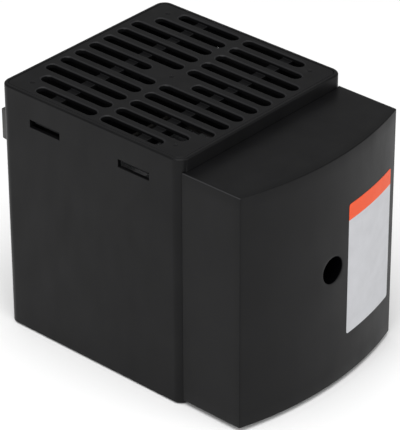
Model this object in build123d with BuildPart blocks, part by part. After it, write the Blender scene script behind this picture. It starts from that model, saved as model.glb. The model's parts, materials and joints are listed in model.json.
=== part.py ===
from build123d import *
from math import cos, radians, sin, sqrt
import os

os.makedirs("parts", exist_ok=True)

# An enclosure fan heater, in millimetres: X to the right, Y to the back, Z up.
# The origin is the centre of the housing's base, under the fan's axis.

# Housing
body_width = 111.0
body_depth = 111.0
body_height = 128.0
corner_radius = 5.5
wall = 2.0
base_thickness = 2.5
rim_edge = 0.6
foot_chamfer = 0.5
post_size = 5.0
seat_gap = 0.3
fit_gap = 0.02
cut_past = 1.0

# Snap windows in the left and right walls, and the lid's hooks in them
window_length = 18.6
window_height = 3.9
window_top_drop = 12.6
window_place = 27.3
hook_width = 15.0
hook_reach = 1.1
hook_height = 2.2
leg_thickness = 1.6

# Outlet grille
lid_gap = 0.25
lid_thickness = 2.4
slot_width = 5.6
slot_pitch = 9.6
rows_each_side = 5
slot_far_end = 50.7
bridge_width = 4.0
slot_end_sides = 12
centre_land = 26.4
row_inset = 6.3
slot_edge = 0.6
cross_rib_place = 26.3
cross_rib_width = 5.5
cross_rib_drop = 2.0
middle_rib = 2.0
rib_depth = 4.0
skirt_thickness = 1.4
skirt_depth = 5.0
dimple_radius = 1.2
dimple_depth = 0.4
dimple_place_x = 45.8
dimple_place_y = 43.8

# Small rounds have a few flat sides, which keeps the meshes light
small_sides = 8
head_sides = 12
ring_sides = 24
duct_sides = 48
wire_sides = 6
bend_runs = 3
blade_runs = 5

# Intake slots in the base, their ends on a circle under the fan
intake_radius = 43.0
shortest_intake_slot = 9.0

# Front cover
cover_width = 107.4
cover_side = 32.7
cover_bulge = 8.6
cover_bottom = 1.7
cover_top = 121.4
cover_wall = 2.0
cover_edge = 0.5
cover_screw_z = 64.0
well_radius = 6.6
well_wall = 2.0
well_floor = 2.5
cover_rib = 1.6
cover_rib_depth = 9.0
cover_rib_front = 3.2
cover_middle_rib_front = 1.0
locating_rib = 1.5
locating_rib_height = 3.0
locating_rib_gap = 1.5

# Cover screw and its insert
cover_boss_height = 6.5
cover_boss_radius = 5.5
insert_radius = 2.8
insert_length = 7.0
insert_depth = 8.0
insert_bore = 2.0
cover_screw_radius = 1.9
cover_screw_head_radius = 3.8
cover_screw_head = 2.8
cover_screw_length = 9.0
cover_screw_play = 0.4
washer_radius = 4.4
washer_thickness = 0.8
washer_play = 0.1

# Mains terminal and cable clamp
terminal_x = 24.0
terminal_z = 36.0
terminal_width = 24.0
terminal_depth = 15.0
terminal_height = 18.0
terminal_ear = 8.0
terminal_ear_thickness = 3.0
terminal_ear_height = 10.0
terminal_boss = 3.0
terminal_edge = 1.2
pole_place = 6.0
pole_depth = 6.5
cage_size = 7.0
cage_height = 13.6
wire_bore = 1.5
wire_entry_play = 0.3
wire_entry = 4.0
clamp_screw_place = 4.5
terminal_screw_lift = 0.8
terminal_screw_length = 2.8
clamp_z = 14.0
clamp_height = 8.0
clamp_width = 28.0
clamp_boss = 5.0
clamp_depth = 9.7
clamp_screw_x = 10.0
clamp_corner = 3.0
cable_room = 5.0
cable_centre = 5.5
grip_rib_place = 2.5
grip_rib_half = 0.6
grip_rib_height = 1.0
grommet_hole = 2.2
grommet_lip = 1.0
grommet_flange = 1.0

# Small screws
small_screw_radius = 1.5
small_head_radius = 2.8
small_head = 1.8
small_boss_radius = 3.2
screw_hole = 1.6
screw_play = 0.2
fixing_screw_length = 8.0
carrier_screw_length = 12.0
clamp_screw_length = 17.0
pilot_end = 1.0
carrier_pilot = 12.5
boss_root = 4.0
drive_slot = 0.8
drive_depth = 1.0

# Axial fan
fan_size = 92.0
fan_depth = 25.4
fan_lift = 1.5
fan_corner = 3.0
fan_waist = 0.3
fan_hole_place = 41.25
fan_hole_radius = 2.2
fan_flange = 4.0
fan_bore = 44.0
fan_base_radius = 18.0
fan_base_thickness = 2.0
strut_width = 3.0
strut_depth = 3.5
strut_root = 1.5
fan_pad_radius = 6.0
fan_screw_head = 3.9
fan_head_recess = 1.8
fan_screw_hole = 2.0
fan_screw_play = 0.1
fan_screw_sink = 0.2
fan_screw_tip_drop = 0.5
fan_pocket = 13.0
bearing_radius = 4.0
bearing_width = 4.0
bearing_tube_wall = 1.0
bearing_tube_lift = 2.5
bearing_inset = 0.2
bearing_top_room = 1.6
shaft_radius = 1.5
shaft_seat = 1.0
shaft_end_gap = 0.4
shaft_clip_width = 1.2
shaft_clip_opening = 0.8
shaft_clip_thickness = 0.5
running_gap = 0.05
hub_radius = 19.0
hub_wall = 1.6
hub_cap = 2.0
hub_lift = 1.5
hub_length = 19.4
hub_edge = 1.0
hub_boss_wall = 2.0
hub_boss_height = 1.5
blade_count = 7
blade_tip_gap = 0.8
blade_thickness = 1.5
blade_camber = 2.4
blade_chord = 28.0
blade_pitch = 34.0
blade_root_half = 7.2
blade_tip_half = 12.5
blade_sweep = 4.0
blade_root_depth = 4.0
blade_lift = 9.312
yoke_thickness = 0.8
magnet_thickness = 1.6
magnet_length = 12.0
magnet_lift = 1.0
stator_gap = 0.6
stator_height = 6.0
pole_width = 4.0
shoe_thickness = 1.9
shoe_gap = 2.2
collar_wall = 1.6
coil_build = 1.3
coil_gap = 0.1
coil_edge = 0.4
board_radius = 14.0
board_thickness = 1.2

# Heater block: corrugated fins either side of two sleeves that hold ceramic stones
carrier_z = 52.0
carrier_floor = 2.4
carrier_wall = 1.6
carrier_ledge = 1.5
carrier_boss_x = 49.9
carrier_boss_y = 30.0
fin_length = 76.0
fin_height = 19.0
fin_depth = 22.0
fin_pitch = 7.4
fin_thickness = 0.35
fin_skin = 0.4
stone_thickness = 2.2
stone_length = 23.0
stone_width = 16.0
stone_gap = 1.0
stones_per_tube = 3
strip_thickness = 0.5
strip_end = 2.0
tab_root = 1.0
film_thickness = 0.6
film_overhang = 0.5
tube_wall = 1.0
tube_overhang = 3.0
end_cap_thickness = 3.6
end_cap_lip = 1.2
end_cap_pocket_gap = 0.7
plate_thickness = 0.8
spring_room = 2.4
leaf_thickness = 0.4
leaf_waves = 6
leaf_margin = 5.0
leaf_inset = 3.0
tab_width = 6.3
tab_length = 8.0
tab_offset = 4.9
tab_slot_half = 0.5
tab_room = 1.0
tab_fit = 0.05
tab_end_gap = 0.1
connector_length = 6.0
connector_width = 3.0
connector_height = 7.6
connector_gap = 0.4
jumper_place = 1.5
fan_wire_place = 4.3

# Temperature limiter on the carrier's floor
limiter_length = 18.0
limiter_width = 8.0
limiter_height = 7.0
limiter_x = 32.0
limiter_y = -46.4
limiter_edge = 0.8
strap_thickness = 0.6
strap_width = 6.0

# Wires inside the heater
supply_wire_radius = 1.2
fan_wire_radius = 0.7
supply_bend = 3.0
fan_bend = 1.6

# Rail clip for a 35 mm rail, on the back wall
rail_height = 35.0
rail_top = 89.8
flange_slot = 1.5
clip_depth = 12.5
hook_thickness = 2.8
hook_overlap = 3.2
hook_bar_width = 85.4
hook_bar_top = 104.6
hook_chamfer = 2.5
clip_plate = 2.5
clip_wall = 2.4
stem_width = 43.0
stem_bottom = 20.0
guide_inside = 12.0
guide_wall = 2.2
guide_lip = 2.5
guide_lip_thickness = 1.1
clip_screw_high = (32.0, 98.0)
clip_screw_low = (17.8, 40.0)
rail_seat_width = 8.0
rear_boss = 6.0
latch_thickness = 4.0
latch_overlap = 3.0
latch_nose_height = 7.0
latch_nose_land = 0.8
latch_nose_drop = 1.0
latch_tail = 12.0
eye_width = 8.0
eye_height = 3.0
eye_lift = 2.5
lug_height = 2.7
spring_slot_bottom = 28.0
spring_length = 15.0
spring_radius = 1.7
spring_wire = 0.4
spring_turns = 5
spring_steps = 8
spring_wire_sides = 4
spring_end_gap = 0.25

# Places that follow from the sizes above
half_width = body_width / 2
half_depth = body_depth / 2
inside_x = half_width - wall
inside_y = half_depth - wall
inside_radius = corner_radius - wall
lid_x = inside_x - lid_gap
lid_y = inside_y - lid_gap
lid_bottom = body_height - lid_thickness
window_top = body_height - window_top_drop
window_bottom = window_top - window_height
front_wall = Plane.XZ.offset(half_depth)
back_wall = Plane(origin=(0, half_depth, 0), x_dir=(-1, 0, 0), z_dir=(0, 1, 0))
fan_bottom = base_thickness + fan_lift
fan_top = fan_bottom + fan_depth
boss_face = half_depth + cover_boss_height
well_floor_face = boss_face + seat_gap
well_floor_top = well_floor_face + well_floor
cover_front = half_depth + cover_side + cover_bulge
cover_half = cover_width / 2
terminal_face = half_depth + terminal_boss
clamp_face = half_depth + clamp_boss
carrier_top = carrier_z + carrier_floor + fin_depth + carrier_wall
sleeve_inside = stone_thickness + 2 * strip_thickness + 2 * film_thickness
tube_height = sleeve_inside + 2 * tube_wall
stack_bottom = carrier_z + carrier_floor
stack_middle = stack_bottom + fin_depth / 2
stack_half = 1.5 * fin_height + tube_height
tube_y = (fin_height + tube_height) / 2
tube_half = fin_length / 2 + tube_overhang
cap_face = fin_length / 2 + seat_gap
cap_back = cap_face + end_cap_thickness
box_x = cap_back + seat_gap
box_y = stack_half + plate_thickness + spring_room / 2
high_wire_z = stack_middle + tab_offset
low_tab_z = stack_middle - tab_offset
low_wire_z = stack_bottom + limiter_height / 2
connector_start = box_x + carrier_wall + connector_gap
wire_x = connector_start + connector_length / 2
fan_wire_x = connector_start + fan_wire_place
rail_bottom = rail_top - rail_height
clip_back = half_depth + clip_depth
hook_face = clip_back - hook_thickness
seat_face = hook_face - flange_slot
hook_tip = rail_top - hook_overlap
guide_top = hook_tip - seat_gap
plate_back = half_depth + clip_plate


def block(low, high, mode=Mode.ADD):
    # A box from its lowest to its highest corner
    with Locations(tuple((a + b) / 2 for a, b in zip(low, high))):
        Box(*(b - a for a, b in zip(low, high)), mode=mode)


def rounded_block(width, depth, radius, bottom, height, mode=Mode.ADD):
    # A block with round upright corners
    with BuildSketch(Plane.XY.offset(bottom)) as outline:
        RectangleRounded(width, depth, radius)
    extrude(outline.sketch, amount=height, mode=mode)


def small_round(radius, mode=Mode.ADD):
    # A pin's corners or a hole's flats lie on the radius, so one goes inside the other
    RegularPolygon(radius, small_sides, major_radius=mode == Mode.ADD, mode=mode)


def stud(radius, plane, places, height, mode=Mode.ADD, sides=small_sides):
    # Small bosses, pads or holes, standing on a plane at the given places
    with BuildSketch(plane) as rounds:
        with Locations(*places):
            RegularPolygon(radius, sides, major_radius=mode == Mode.ADD)
    extrude(rounds.sketch, amount=height, mode=mode)


def disc(radius, plane, place, height, mode=Mode.ADD):
    # A true round boss or bore
    with BuildSketch(plane) as circle:
        with Locations(place):
            Circle(radius)
    extrude(circle.sketch, amount=height, mode=mode)


def four(x, y):
    # The same place in all four quarters
    return [(x, y), (-x, y), (-x, -y), (x, -y)]


def pan_screw(radius, length, head_radius, head_height, sides=small_sides):
    # A slotted pan-head screw, its shank down the local -Z from the head's seat
    with BuildPart() as screw:
        stud(radius, Plane.XY, [(0, 0)], -length)
        stud(head_radius, Plane.XY, [(0, 0)], head_height, sides=sides)
        block(
            (-head_radius, -drive_slot / 2, head_height / 2),
            (head_radius, drive_slot / 2, head_height),
            Mode.SUBTRACT,
        )
    return screw.part


def tube_along(points, bend, radius):
    # A wire with square corners, each one rounded as a quarter circle of short runs
    corners = [Vector(*point) for point in points]
    route = corners[:1]
    for before, corner, after in zip(corners, corners[1:], corners[2:]):
        arriving = (corner - before).normalized()
        leaving = (after - corner).normalized()
        centre = corner + (leaving - arriving) * bend
        for step in range(bend_runs + 1):
            angle = radians(90 * step / bend_runs)
            route.append(centre + (arriving * sin(angle) - leaving * cos(angle)) * bend)
    with BuildPart() as wire:
        with BuildLine() as path:
            Polyline(*route, corners[-1])
        with BuildSketch(Plane(origin=path.line @ 0, z_dir=path.line % 0)):
            RegularPolygon(radius, wire_sides)
        sweep(transition=Transition.RIGHT)
    return wire.part


def slot_rows(plane, rows, height, end_sides):
    # Rows of round-ended slots along Y, each given as (x, nearest end, farthest end)
    radius = slot_width / 2
    with BuildSketch(plane) as slots:
        for x, near, far in rows:
            for side in (-1, 1):
                with Locations((x, side * (near + far) / 2)):
                    Rectangle(slot_width, far - near - slot_width)
                with Locations((x, side * (near + radius)), (x, side * (far - radius))):
                    RegularPolygon(radius, end_sides)
    extrude(slots.sketch, amount=height, mode=Mode.SUBTRACT)


def outlet_rows():
    # The two outer rows step back from the corners, and the middle one leaves a land
    rows = []
    for index in range(-rows_each_side, rows_each_side + 1):
        steps = max(0, abs(index) - rows_each_side + 2)
        near = centre_land / 2 if index == 0 else bridge_width / 2
        rows.append((index * slot_pitch, near, slot_far_end - steps * row_inset))
    return rows


def intake_rows():
    # Each row ends on the intake circle
    rows = []
    for index in range(-rows_each_side, rows_each_side + 1):
        x = index * slot_pitch
        if abs(x) < intake_radius:
            far = sqrt(intake_radius**2 - x**2)
            if far - bridge_width / 2 >= shortest_intake_slot:
                rows.append((x, bridge_width / 2, far))
    return rows


def cover_outline(inset, back):
    # Flat sides joined by one shallow arc across the front
    half = cover_half - inset
    arc_radius = (cover_half**2 + cover_bulge**2) / (2 * cover_bulge)
    arc_centre = arc_radius - cover_front
    corner = arc_centre - sqrt((arc_radius - inset) ** 2 - half**2)
    with BuildLine() as outline:
        Polyline((-half, corner), (-half, back), (half, back), (half, corner))
        ThreePointArc((half, corner), (0, inset - cover_front), (-half, corner))
    make_face(outline.edges())


# Housing: a tub with its base slots, the front wall's bosses and the back wall's bosses
fan_holes = four(fan_hole_place, fan_hole_place)
terminal_ears = [
    (terminal_x + side * (terminal_width + terminal_ear) / 2, terminal_z) for side in (-1, 1)
]
wire_holes = [(terminal_x - pole_place, low_wire_z), (terminal_x + pole_place, high_wire_z)]
clamp_screws = [(side * clamp_screw_x, clamp_z) for side in (-1, 1)]
clip_screws = [
    (side * x, z) for x, z in (clip_screw_high, clip_screw_low) for side in (-1, 1)
]
with BuildPart() as housing:
    rounded_block(body_width, body_depth, corner_radius, 0, body_height)
    rounded_block(
        2 * inside_x, 2 * inside_y, inside_radius, base_thickness, body_height, Mode.SUBTRACT
    )
    chamfer(housing.faces().sort_by(Axis.Z)[-1].outer_wire().edges(), rim_edge)
    chamfer(housing.faces().sort_by(Axis.Z)[0].outer_wire().edges(), foot_chamfer)
    # Posts in the corners carry the lid
    with BuildSketch(Plane.XY.offset(base_thickness)):
        with Locations(*four(inside_x - post_size / 2, inside_y - post_size / 2)):
            Rectangle(post_size, post_size)
    extrude(amount=lid_bottom - base_thickness)
    # Pads under the fan, and bosses up the side walls for the heater carrier
    stud(fan_pad_radius, Plane.XY.offset(base_thickness), fan_holes, fan_lift)
    with BuildSketch(Plane.XY.offset(base_thickness)):
        with Locations(*four(carrier_boss_x, carrier_boss_y)):
            Rectangle(2 * (inside_x - carrier_boss_x), 2 * small_boss_radius)
    extrude(amount=carrier_z - base_thickness)
    carrier_pilots = four(carrier_boss_x, carrier_boss_y)
    stud(screw_hole, Plane.XY.offset(carrier_z), carrier_pilots, -carrier_pilot, Mode.SUBTRACT)
    slot_rows(Plane.XY, intake_rows(), base_thickness, small_sides)
    stud(fan_screw_hole, Plane.XY, fan_holes, fan_bottom, Mode.SUBTRACT)
    stud(fan_screw_head, Plane.XY, fan_holes, fan_head_recess, Mode.SUBTRACT)
    # Front wall: cover boss, terminal bosses, clamp bosses and the locating rib
    cover_place = [(0, cover_screw_z)]
    for radius, places, outward in (
        (cover_boss_radius, cover_place, cover_boss_height),
        (small_boss_radius, terminal_ears, terminal_boss),
        (small_boss_radius, clamp_screws, clamp_boss),
    ):
        stud(radius, front_wall.offset(-wall - boss_root), places, wall + boss_root + outward)
    insert_hole = insert_radius + fit_gap
    stud(insert_hole, front_wall.offset(cover_boss_height), cover_place, -insert_depth, Mode.SUBTRACT)
    rib_x = cover_half - cover_wall - seat_gap
    rib_low = cover_bottom + cover_wall + seat_gap
    rib_high = cover_top - cover_wall - seat_gap
    with BuildSketch(front_wall.offset(-wall / 2)):
        with Locations((0, (rib_low + rib_high) / 2)):
            Rectangle(2 * rib_x, rib_high - rib_low)
            Rectangle(
                2 * (rib_x - locating_rib), rib_high - rib_low - 2 * locating_rib, mode=Mode.SUBTRACT
            )
        with Locations((0, rib_low)):
            Rectangle(
                2 * (cable_room + locating_rib_gap), 2 * (locating_rib + cut_past), mode=Mode.SUBTRACT
            )
    extrude(amount=wall / 2 + locating_rib_height)
    # Grip ribs under the mains cable
    for z in (clamp_z - grip_rib_place, clamp_z + grip_rib_place):
        block(
            (-cable_room, -half_depth - grip_rib_height, z - grip_rib_half),
            (cable_room, -inside_y, z + grip_rib_half),
        )
    # Pilot holes in the terminal and clamp bosses, and the grommets' holes
    for places, outward in ((terminal_ears, terminal_boss), (clamp_screws, clamp_boss)):
        depth = outward + wall + boss_root - pilot_end
        stud(screw_hole, front_wall.offset(outward), places, -depth, Mode.SUBTRACT)
    stud(grommet_hole, front_wall, wire_holes, -wall, Mode.SUBTRACT)
    # Back wall: bosses for the rail clip's screws
    stud(small_boss_radius, back_wall.offset(-wall - rear_boss), clip_screws, rear_boss + wall / 2)
    stud(screw_hole, back_wall, clip_screws, pilot_end - wall - rear_boss, Mode.SUBTRACT)
    # Snap windows
    for side in (-1, 1):
        for y in (-window_place, window_place):
            block(
                (side * half_width - wall - cut_past, y - window_length / 2, window_bottom),
                (side * half_width + wall + cut_past, y + window_length / 2, window_top),
                Mode.SUBTRACT,
            )

# Outlet grille: the slotted lid inside the rim, with ribs below and four snap legs
with BuildPart() as outlet_grille:
    rounded_block(2 * lid_x, 2 * lid_y, inside_radius - lid_gap, lid_bottom, lid_thickness)
    slot_rows(Plane.XY.offset(lid_bottom), outlet_rows(), lid_thickness, slot_end_sides)
    lid_face = outlet_grille.faces().sort_by(Axis.Z)[-1]
    chamfer([edge for wire in lid_face.inner_wires() for edge in wire.edges()], slot_edge)
    marks = four(dimple_place_x, dimple_place_y) + [(0, 0)]
    stud(dimple_radius, Plane.XY.offset(body_height), marks, -dimple_depth, Mode.SUBTRACT)
    skirt_x = inside_x - post_size - seat_gap
    skirt_y = inside_y - post_size - seat_gap
    # Ribs across below the slots: the outer two show in them, the middle one is under the bridges
    rib_top = body_height - cross_rib_drop
    for y, width, top in (
        (-cross_rib_place, cross_rib_width, rib_top),
        (0, middle_rib, lid_bottom),
        (cross_rib_place, cross_rib_width, rib_top),
    ):
        block((-lid_x, y - width / 2, lid_bottom - rib_depth), (lid_x, y + width / 2, top))
    for side in (-1, 1):
        edge = side * (lid_x - skirt_thickness / 2)
        block(
            (edge - skirt_thickness / 2, -skirt_y, lid_bottom - skirt_depth),
            (edge + skirt_thickness / 2, skirt_y, lid_bottom),
        )
        edge = side * (lid_y - skirt_thickness / 2)
        block(
            (-skirt_x, edge - skirt_thickness / 2, lid_bottom - skirt_depth),
            (skirt_x, edge + skirt_thickness / 2, lid_bottom),
        )
    for side in (-1, 1):
        for y in (-window_place, window_place):
            hook_top = window_top - seat_gap
            hook_low = hook_top - hook_height
            with BuildSketch(Plane.XZ.offset(-y - hook_width / 2)):
                with BuildLine():
                    Polyline(
                        (side * (lid_x - leg_thickness), lid_bottom),
                        (side * (lid_x - leg_thickness), hook_low),
                        (side * lid_x, hook_low),
                        (side * (lid_x + hook_reach), hook_top - hook_height / 3),
                        (side * (lid_x + hook_reach), hook_top),
                        (side * lid_x, hook_top),
                        (side * lid_x, lid_bottom),
                        close=True,
                    )
                make_face()
            extrude(amount=hook_width)

# Front cover: a convex shell with a screw well, ribs and a notch for the mains cable
with BuildPart() as front_cover:
    with BuildSketch(Plane.XY.offset(cover_bottom)):
        cover_outline(0, corner_radius - half_depth)
    extrude(amount=cover_top - cover_bottom)
    chamfer(front_cover.faces().sort_by(Axis.Y)[0].edges(), cover_edge)
    with BuildSketch(Plane.XY.offset(cover_bottom + cover_wall)):
        cover_outline(cover_wall, corner_radius - half_depth)
    extrude(amount=cover_top - cover_bottom - 2 * cover_wall, mode=Mode.SUBTRACT)
    # Ribs from the well to the walls, behind the front
    for x, front in (
        (-cover_half / 2, cover_rib_front),
        (0, cover_middle_rib_front),
        (cover_half / 2, cover_rib_front),
    ):
        block(
            (x - cover_rib / 2, front - cover_front, cover_bottom + cover_wall / 2),
            (x + cover_rib / 2, cover_rib_depth - cover_front, cover_top - cover_wall / 2),
        )
    well_place = (0, cover_screw_z)
    well_plane = Plane.XZ.offset(well_floor_face)
    well_length = cover_front - cover_wall / 2 - well_floor_face
    disc(well_radius + well_wall, well_plane, well_place, well_length)
    disc(
        well_radius,
        Plane.XZ.offset(well_floor_top),
        well_place,
        cover_front - well_floor_top,
        Mode.SUBTRACT,
    )
    stud(cover_screw_radius + cover_screw_play, well_plane, [well_place], well_floor, Mode.SUBTRACT)
    # Follow the housing's rounded corners with a small gap
    rounded_block(
        body_width + 2 * seat_gap,
        body_depth + 2 * seat_gap,
        corner_radius + seat_gap,
        0,
        body_height,
        Mode.SUBTRACT,
    )
    # Cable notch, open towards the housing
    with BuildSketch(Plane.XY):
        with Locations((0, -half_depth - cable_centre)):
            Circle(cable_room)
        with Locations((0, -half_depth - cable_centre / 2)):
            Rectangle(2 * cable_room, cable_centre)
    extrude(amount=cover_bottom + cover_wall, mode=Mode.SUBTRACT)

# Cover screw, its washer and the brass insert in the housing's boss
with BuildPart() as cover_screw:
    with Locations(Plane(origin=(0, -well_floor_top - washer_thickness, cover_screw_z), z_dir=(0, -1, 0))):
        add(
            pan_screw(
                cover_screw_radius,
                cover_screw_length,
                cover_screw_head_radius,
                cover_screw_head,
                head_sides,
            )
        )
with BuildPart() as cover_screw_washer:
    with BuildSketch(Plane.XZ.offset(well_floor_top)):
        with Locations((0, cover_screw_z)):
            small_round(washer_radius)
            small_round(cover_screw_radius + washer_play, Mode.SUBTRACT)
    extrude(amount=washer_thickness)
with BuildPart() as cover_insert:
    with BuildSketch(Plane.XZ.offset(boss_face)):
        with Locations((0, cover_screw_z)):
            small_round(insert_radius)
            small_round(insert_bore, Mode.SUBTRACT)
    extrude(amount=-insert_length)

# Mains terminal: moulded block, brass cages and their screws
with BuildPart() as terminal_block:
    low_z = terminal_z - terminal_height / 2
    high_z = terminal_z + terminal_height / 2
    block(
        (terminal_x - terminal_width / 2, -terminal_face - terminal_depth, low_z),
        (terminal_x + terminal_width / 2, -terminal_face, high_z),
    )
    chamfer(terminal_block.edges().filter_by(Axis.Z).group_by(Axis.Y)[0], terminal_edge)
    block(
        (
            terminal_x - terminal_width / 2 - terminal_ear,
            -terminal_face - terminal_ear_thickness,
            terminal_z - terminal_ear_height / 2,
        ),
        (
            terminal_x + terminal_width / 2 + terminal_ear,
            -terminal_face,
            terminal_z + terminal_ear_height / 2,
        ),
    )
    ear_plane = front_wall.offset(terminal_boss)
    ear_hole = small_screw_radius + screw_play
    stud(ear_hole, ear_plane, terminal_ears, terminal_ear_thickness, Mode.SUBTRACT)
    poles = [(terminal_x + side * pole_place, -terminal_face - pole_depth) for side in (-1, 1)]
    for x, y in poles:
        reach = cage_size / 2 + seat_gap / 2
        block(
            (x - reach, y - reach, terminal_z - cage_height / 2 - seat_gap / 2),
            (x + reach, -terminal_face, terminal_z + cage_height / 2 + seat_gap / 2),
            Mode.SUBTRACT,
        )
    stud(wire_bore + wire_entry_play, Plane.XY.offset(low_z), poles, terminal_height, Mode.SUBTRACT)
    clamp_spots = [(x, terminal_z + z) for x, _ in poles for z in (-clamp_screw_place, clamp_screw_place)]
    stud(
        small_head_radius,
        ear_plane.offset(pole_depth + cage_size / 2),
        clamp_spots,
        terminal_depth,
        Mode.SUBTRACT,
    )
with BuildPart() as terminal_cages:
    with BuildSketch(Plane.XY.offset(terminal_z - cage_height / 2)):
        with Locations(*poles):
            Rectangle(cage_size, cage_size)
            small_round(wire_bore, Mode.SUBTRACT)
    extrude(amount=cage_height)
    stud(
        small_screw_radius + fit_gap,
        ear_plane.offset(pole_depth),
        clamp_spots,
        cage_size,
        Mode.SUBTRACT,
    )
with BuildPart() as terminal_screws:
    head_seat = terminal_face + pole_depth + cage_size / 2 + terminal_screw_lift
    with Locations(*[Plane(origin=(x, -head_seat, z), z_dir=(0, -1, 0)) for x, z in clamp_spots]):
        add(
            pan_screw(
                small_screw_radius, terminal_screw_length, small_head_radius - seat_gap, small_head
            )
        )
with BuildPart() as terminal_fixing_screws:
    ear_front = terminal_face + terminal_ear_thickness
    with Locations(*[Plane(origin=(x, -ear_front, z), z_dir=(0, -1, 0)) for x, z in terminal_ears]):
        add(pan_screw(small_screw_radius, fixing_screw_length, small_head_radius, small_head))

# Cable clamp: an arched bar over the mains cable's place
with BuildPart() as cable_clamp:
    with BuildSketch(Plane.XY.offset(clamp_z - clamp_height / 2)):
        with Locations((0, -clamp_face - clamp_depth / 2)):
            clamp_section = Rectangle(clamp_width, clamp_depth)
        chamfer(clamp_section.vertices().group_by(Axis.Y)[0], clamp_corner)
        with Locations((0, -half_depth - cable_centre)):
            Circle(cable_room, mode=Mode.SUBTRACT)
    extrude(amount=clamp_height)
    stud(
        small_screw_radius + screw_play,
        front_wall.offset(clamp_boss),
        clamp_screws,
        clamp_depth,
        Mode.SUBTRACT,
    )
with BuildPart() as cable_clamp_screws:
    bar_front = clamp_face + clamp_depth
    with Locations(*[Plane(origin=(x, -bar_front, z), z_dir=(0, -1, 0)) for x, z in clamp_screws]):
        add(pan_screw(small_screw_radius, clamp_screw_length, small_head_radius, small_head))

# Grommets where the wires pass the front wall
with BuildPart() as wall_grommets:
    stud(grommet_hole - fit_gap, front_wall.offset(grommet_flange), wire_holes, -wall - 2 * grommet_flange)
    for face in (-wall - grommet_flange, 0):
        stud(grommet_hole + grommet_lip, front_wall.offset(face), wire_holes, grommet_flange)
    stud(
        supply_wire_radius + fit_gap,
        front_wall.offset(grommet_flange),
        wire_holes,
        -wall - 2 * grommet_flange,
        Mode.SUBTRACT,
    )

# Fan frame: two square flanges round a duct, with struts and the bearing tube on top
tube_bore = bearing_radius + fit_gap
tube_outside = tube_bore + bearing_tube_wall
tube_end = fan_bottom + hub_lift + hub_cap + bearing_tube_lift
bore_depth = fan_top - fan_base_thickness - tube_end
with BuildPart() as fan_frame:
    for bottom, height, size, cut in (
        (fan_bottom, fan_flange, fan_size, fan_corner),
        (fan_top - fan_flange, fan_flange, fan_size, fan_corner),
        (fan_bottom, fan_depth, fan_size - 2 * fan_waist, fan_pocket),
    ):
        with BuildSketch(Plane.XY.offset(bottom)):
            square = Rectangle(size, size)
            chamfer(square.vertices(), cut)
        extrude(amount=height)
    duct = Plane.XY.offset(fan_bottom)
    stud(fan_bore, duct, [(0, 0)], fan_depth, Mode.SUBTRACT, duct_sides)
    stud(fan_hole_radius, duct, fan_holes, fan_depth, Mode.SUBTRACT)
    stud(fan_base_radius, Plane.XY.offset(fan_top), [(0, 0)], -fan_base_thickness, sides=ring_sides)
    with BuildSketch(Plane.XY.offset(fan_top)):
        with PolarLocations((fan_base_radius + fan_bore) / 2, 4, start_angle=45):
            Rectangle(fan_bore - fan_base_radius + 2 * strut_root, strut_width)
    extrude(amount=-strut_depth)
    stud(tube_outside, Plane.XY.offset(fan_top), [(0, 0)], tube_end - fan_top)
    disc(tube_bore, Plane.XY.offset(tube_end), (0, 0), bore_depth, Mode.SUBTRACT)

# Rotor: impeller, shaft, steel yoke and ring magnet
hub_bottom = fan_bottom + hub_lift
cup_floor = hub_bottom + hub_cap
cup_radius = hub_radius - hub_wall
shaft_start = hub_bottom + shaft_seat
blade_tip = fan_bore - blade_tip_gap
blade_middle = hub_bottom + blade_lift
blade_root = hub_radius - blade_root_depth
with BuildPart() as blade:
    # A cambered section at its pitch, drawn out along the radius
    chord = Vector(blade_chord / 2, 0).rotate(Axis.Z, blade_pitch)
    crown = Vector(0, 1).rotate(Axis.Z, blade_pitch)
    steps = [2 * run / blade_runs - 1 for run in range(blade_runs + 1)]
    upper, lower = (
        [Vector(0, blade_middle) + chord * t + crown * rise * (1 - t * t) for t in steps]
        for rise in (blade_camber + blade_thickness / 2, blade_camber - blade_thickness / 2)
    )
    with BuildSketch(Plane.YZ.offset(blade_root)):
        with BuildLine():
            Polyline(*upper, *lower[-2:0:-1], close=True)
        make_face()
    extrude(amount=fan_bore - blade_root)
    # Its plan: narrow at the root, swept forward to the tip
    with BuildSketch(Plane.XY):
        with BuildLine():
            Polyline(
                (blade_root, -blade_root_half),
                (fan_bore, blade_sweep - blade_tip_half),
                (fan_bore, blade_sweep + blade_tip_half),
                (blade_root, blade_root_half),
                close=True,
            )
        make_face()
    extrude(amount=fan_top, mode=Mode.INTERSECT)
    with BuildSketch(Plane.XY):
        RegularPolygon(blade_tip, duct_sides)
    extrude(amount=fan_top, mode=Mode.INTERSECT)
with BuildPart() as fan_impeller:
    stud(hub_radius, Plane.XY.offset(hub_bottom), [(0, 0)], hub_length, sides=duct_sides)
    chamfer(fan_impeller.faces().sort_by(Axis.Z)[0].edges(), hub_edge)
    with PolarLocations(0, blade_count):
        add(blade.part)
    stud(cup_radius, Plane.XY.offset(cup_floor), [(0, 0)], hub_length, Mode.SUBTRACT, ring_sides)
    stud(shaft_radius + hub_boss_wall, Plane.XY.offset(cup_floor), [(0, 0)], hub_boss_height)
    disc(shaft_radius + fit_gap, Plane.XY.offset(shaft_start), (0, 0), hub_length, Mode.SUBTRACT)
with BuildPart() as fan_shaft:
    shaft_end = fan_top - fan_base_thickness - shaft_end_gap
    disc(shaft_radius, Plane.XY.offset(shaft_start), (0, 0), shaft_end - shaft_start)
yoke_outside = cup_radius - fit_gap
magnet_outside = yoke_outside - yoke_thickness - fit_gap
magnet_inside = magnet_outside - magnet_thickness
rotor_bottom = cup_floor + magnet_lift
with BuildPart() as rotor_yoke:
    with BuildSketch(Plane.XY.offset(cup_floor)):
        RegularPolygon(yoke_outside, ring_sides)
        RegularPolygon(yoke_outside - yoke_thickness, ring_sides, mode=Mode.SUBTRACT)
    extrude(amount=magnet_length + 2 * magnet_lift)
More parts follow.
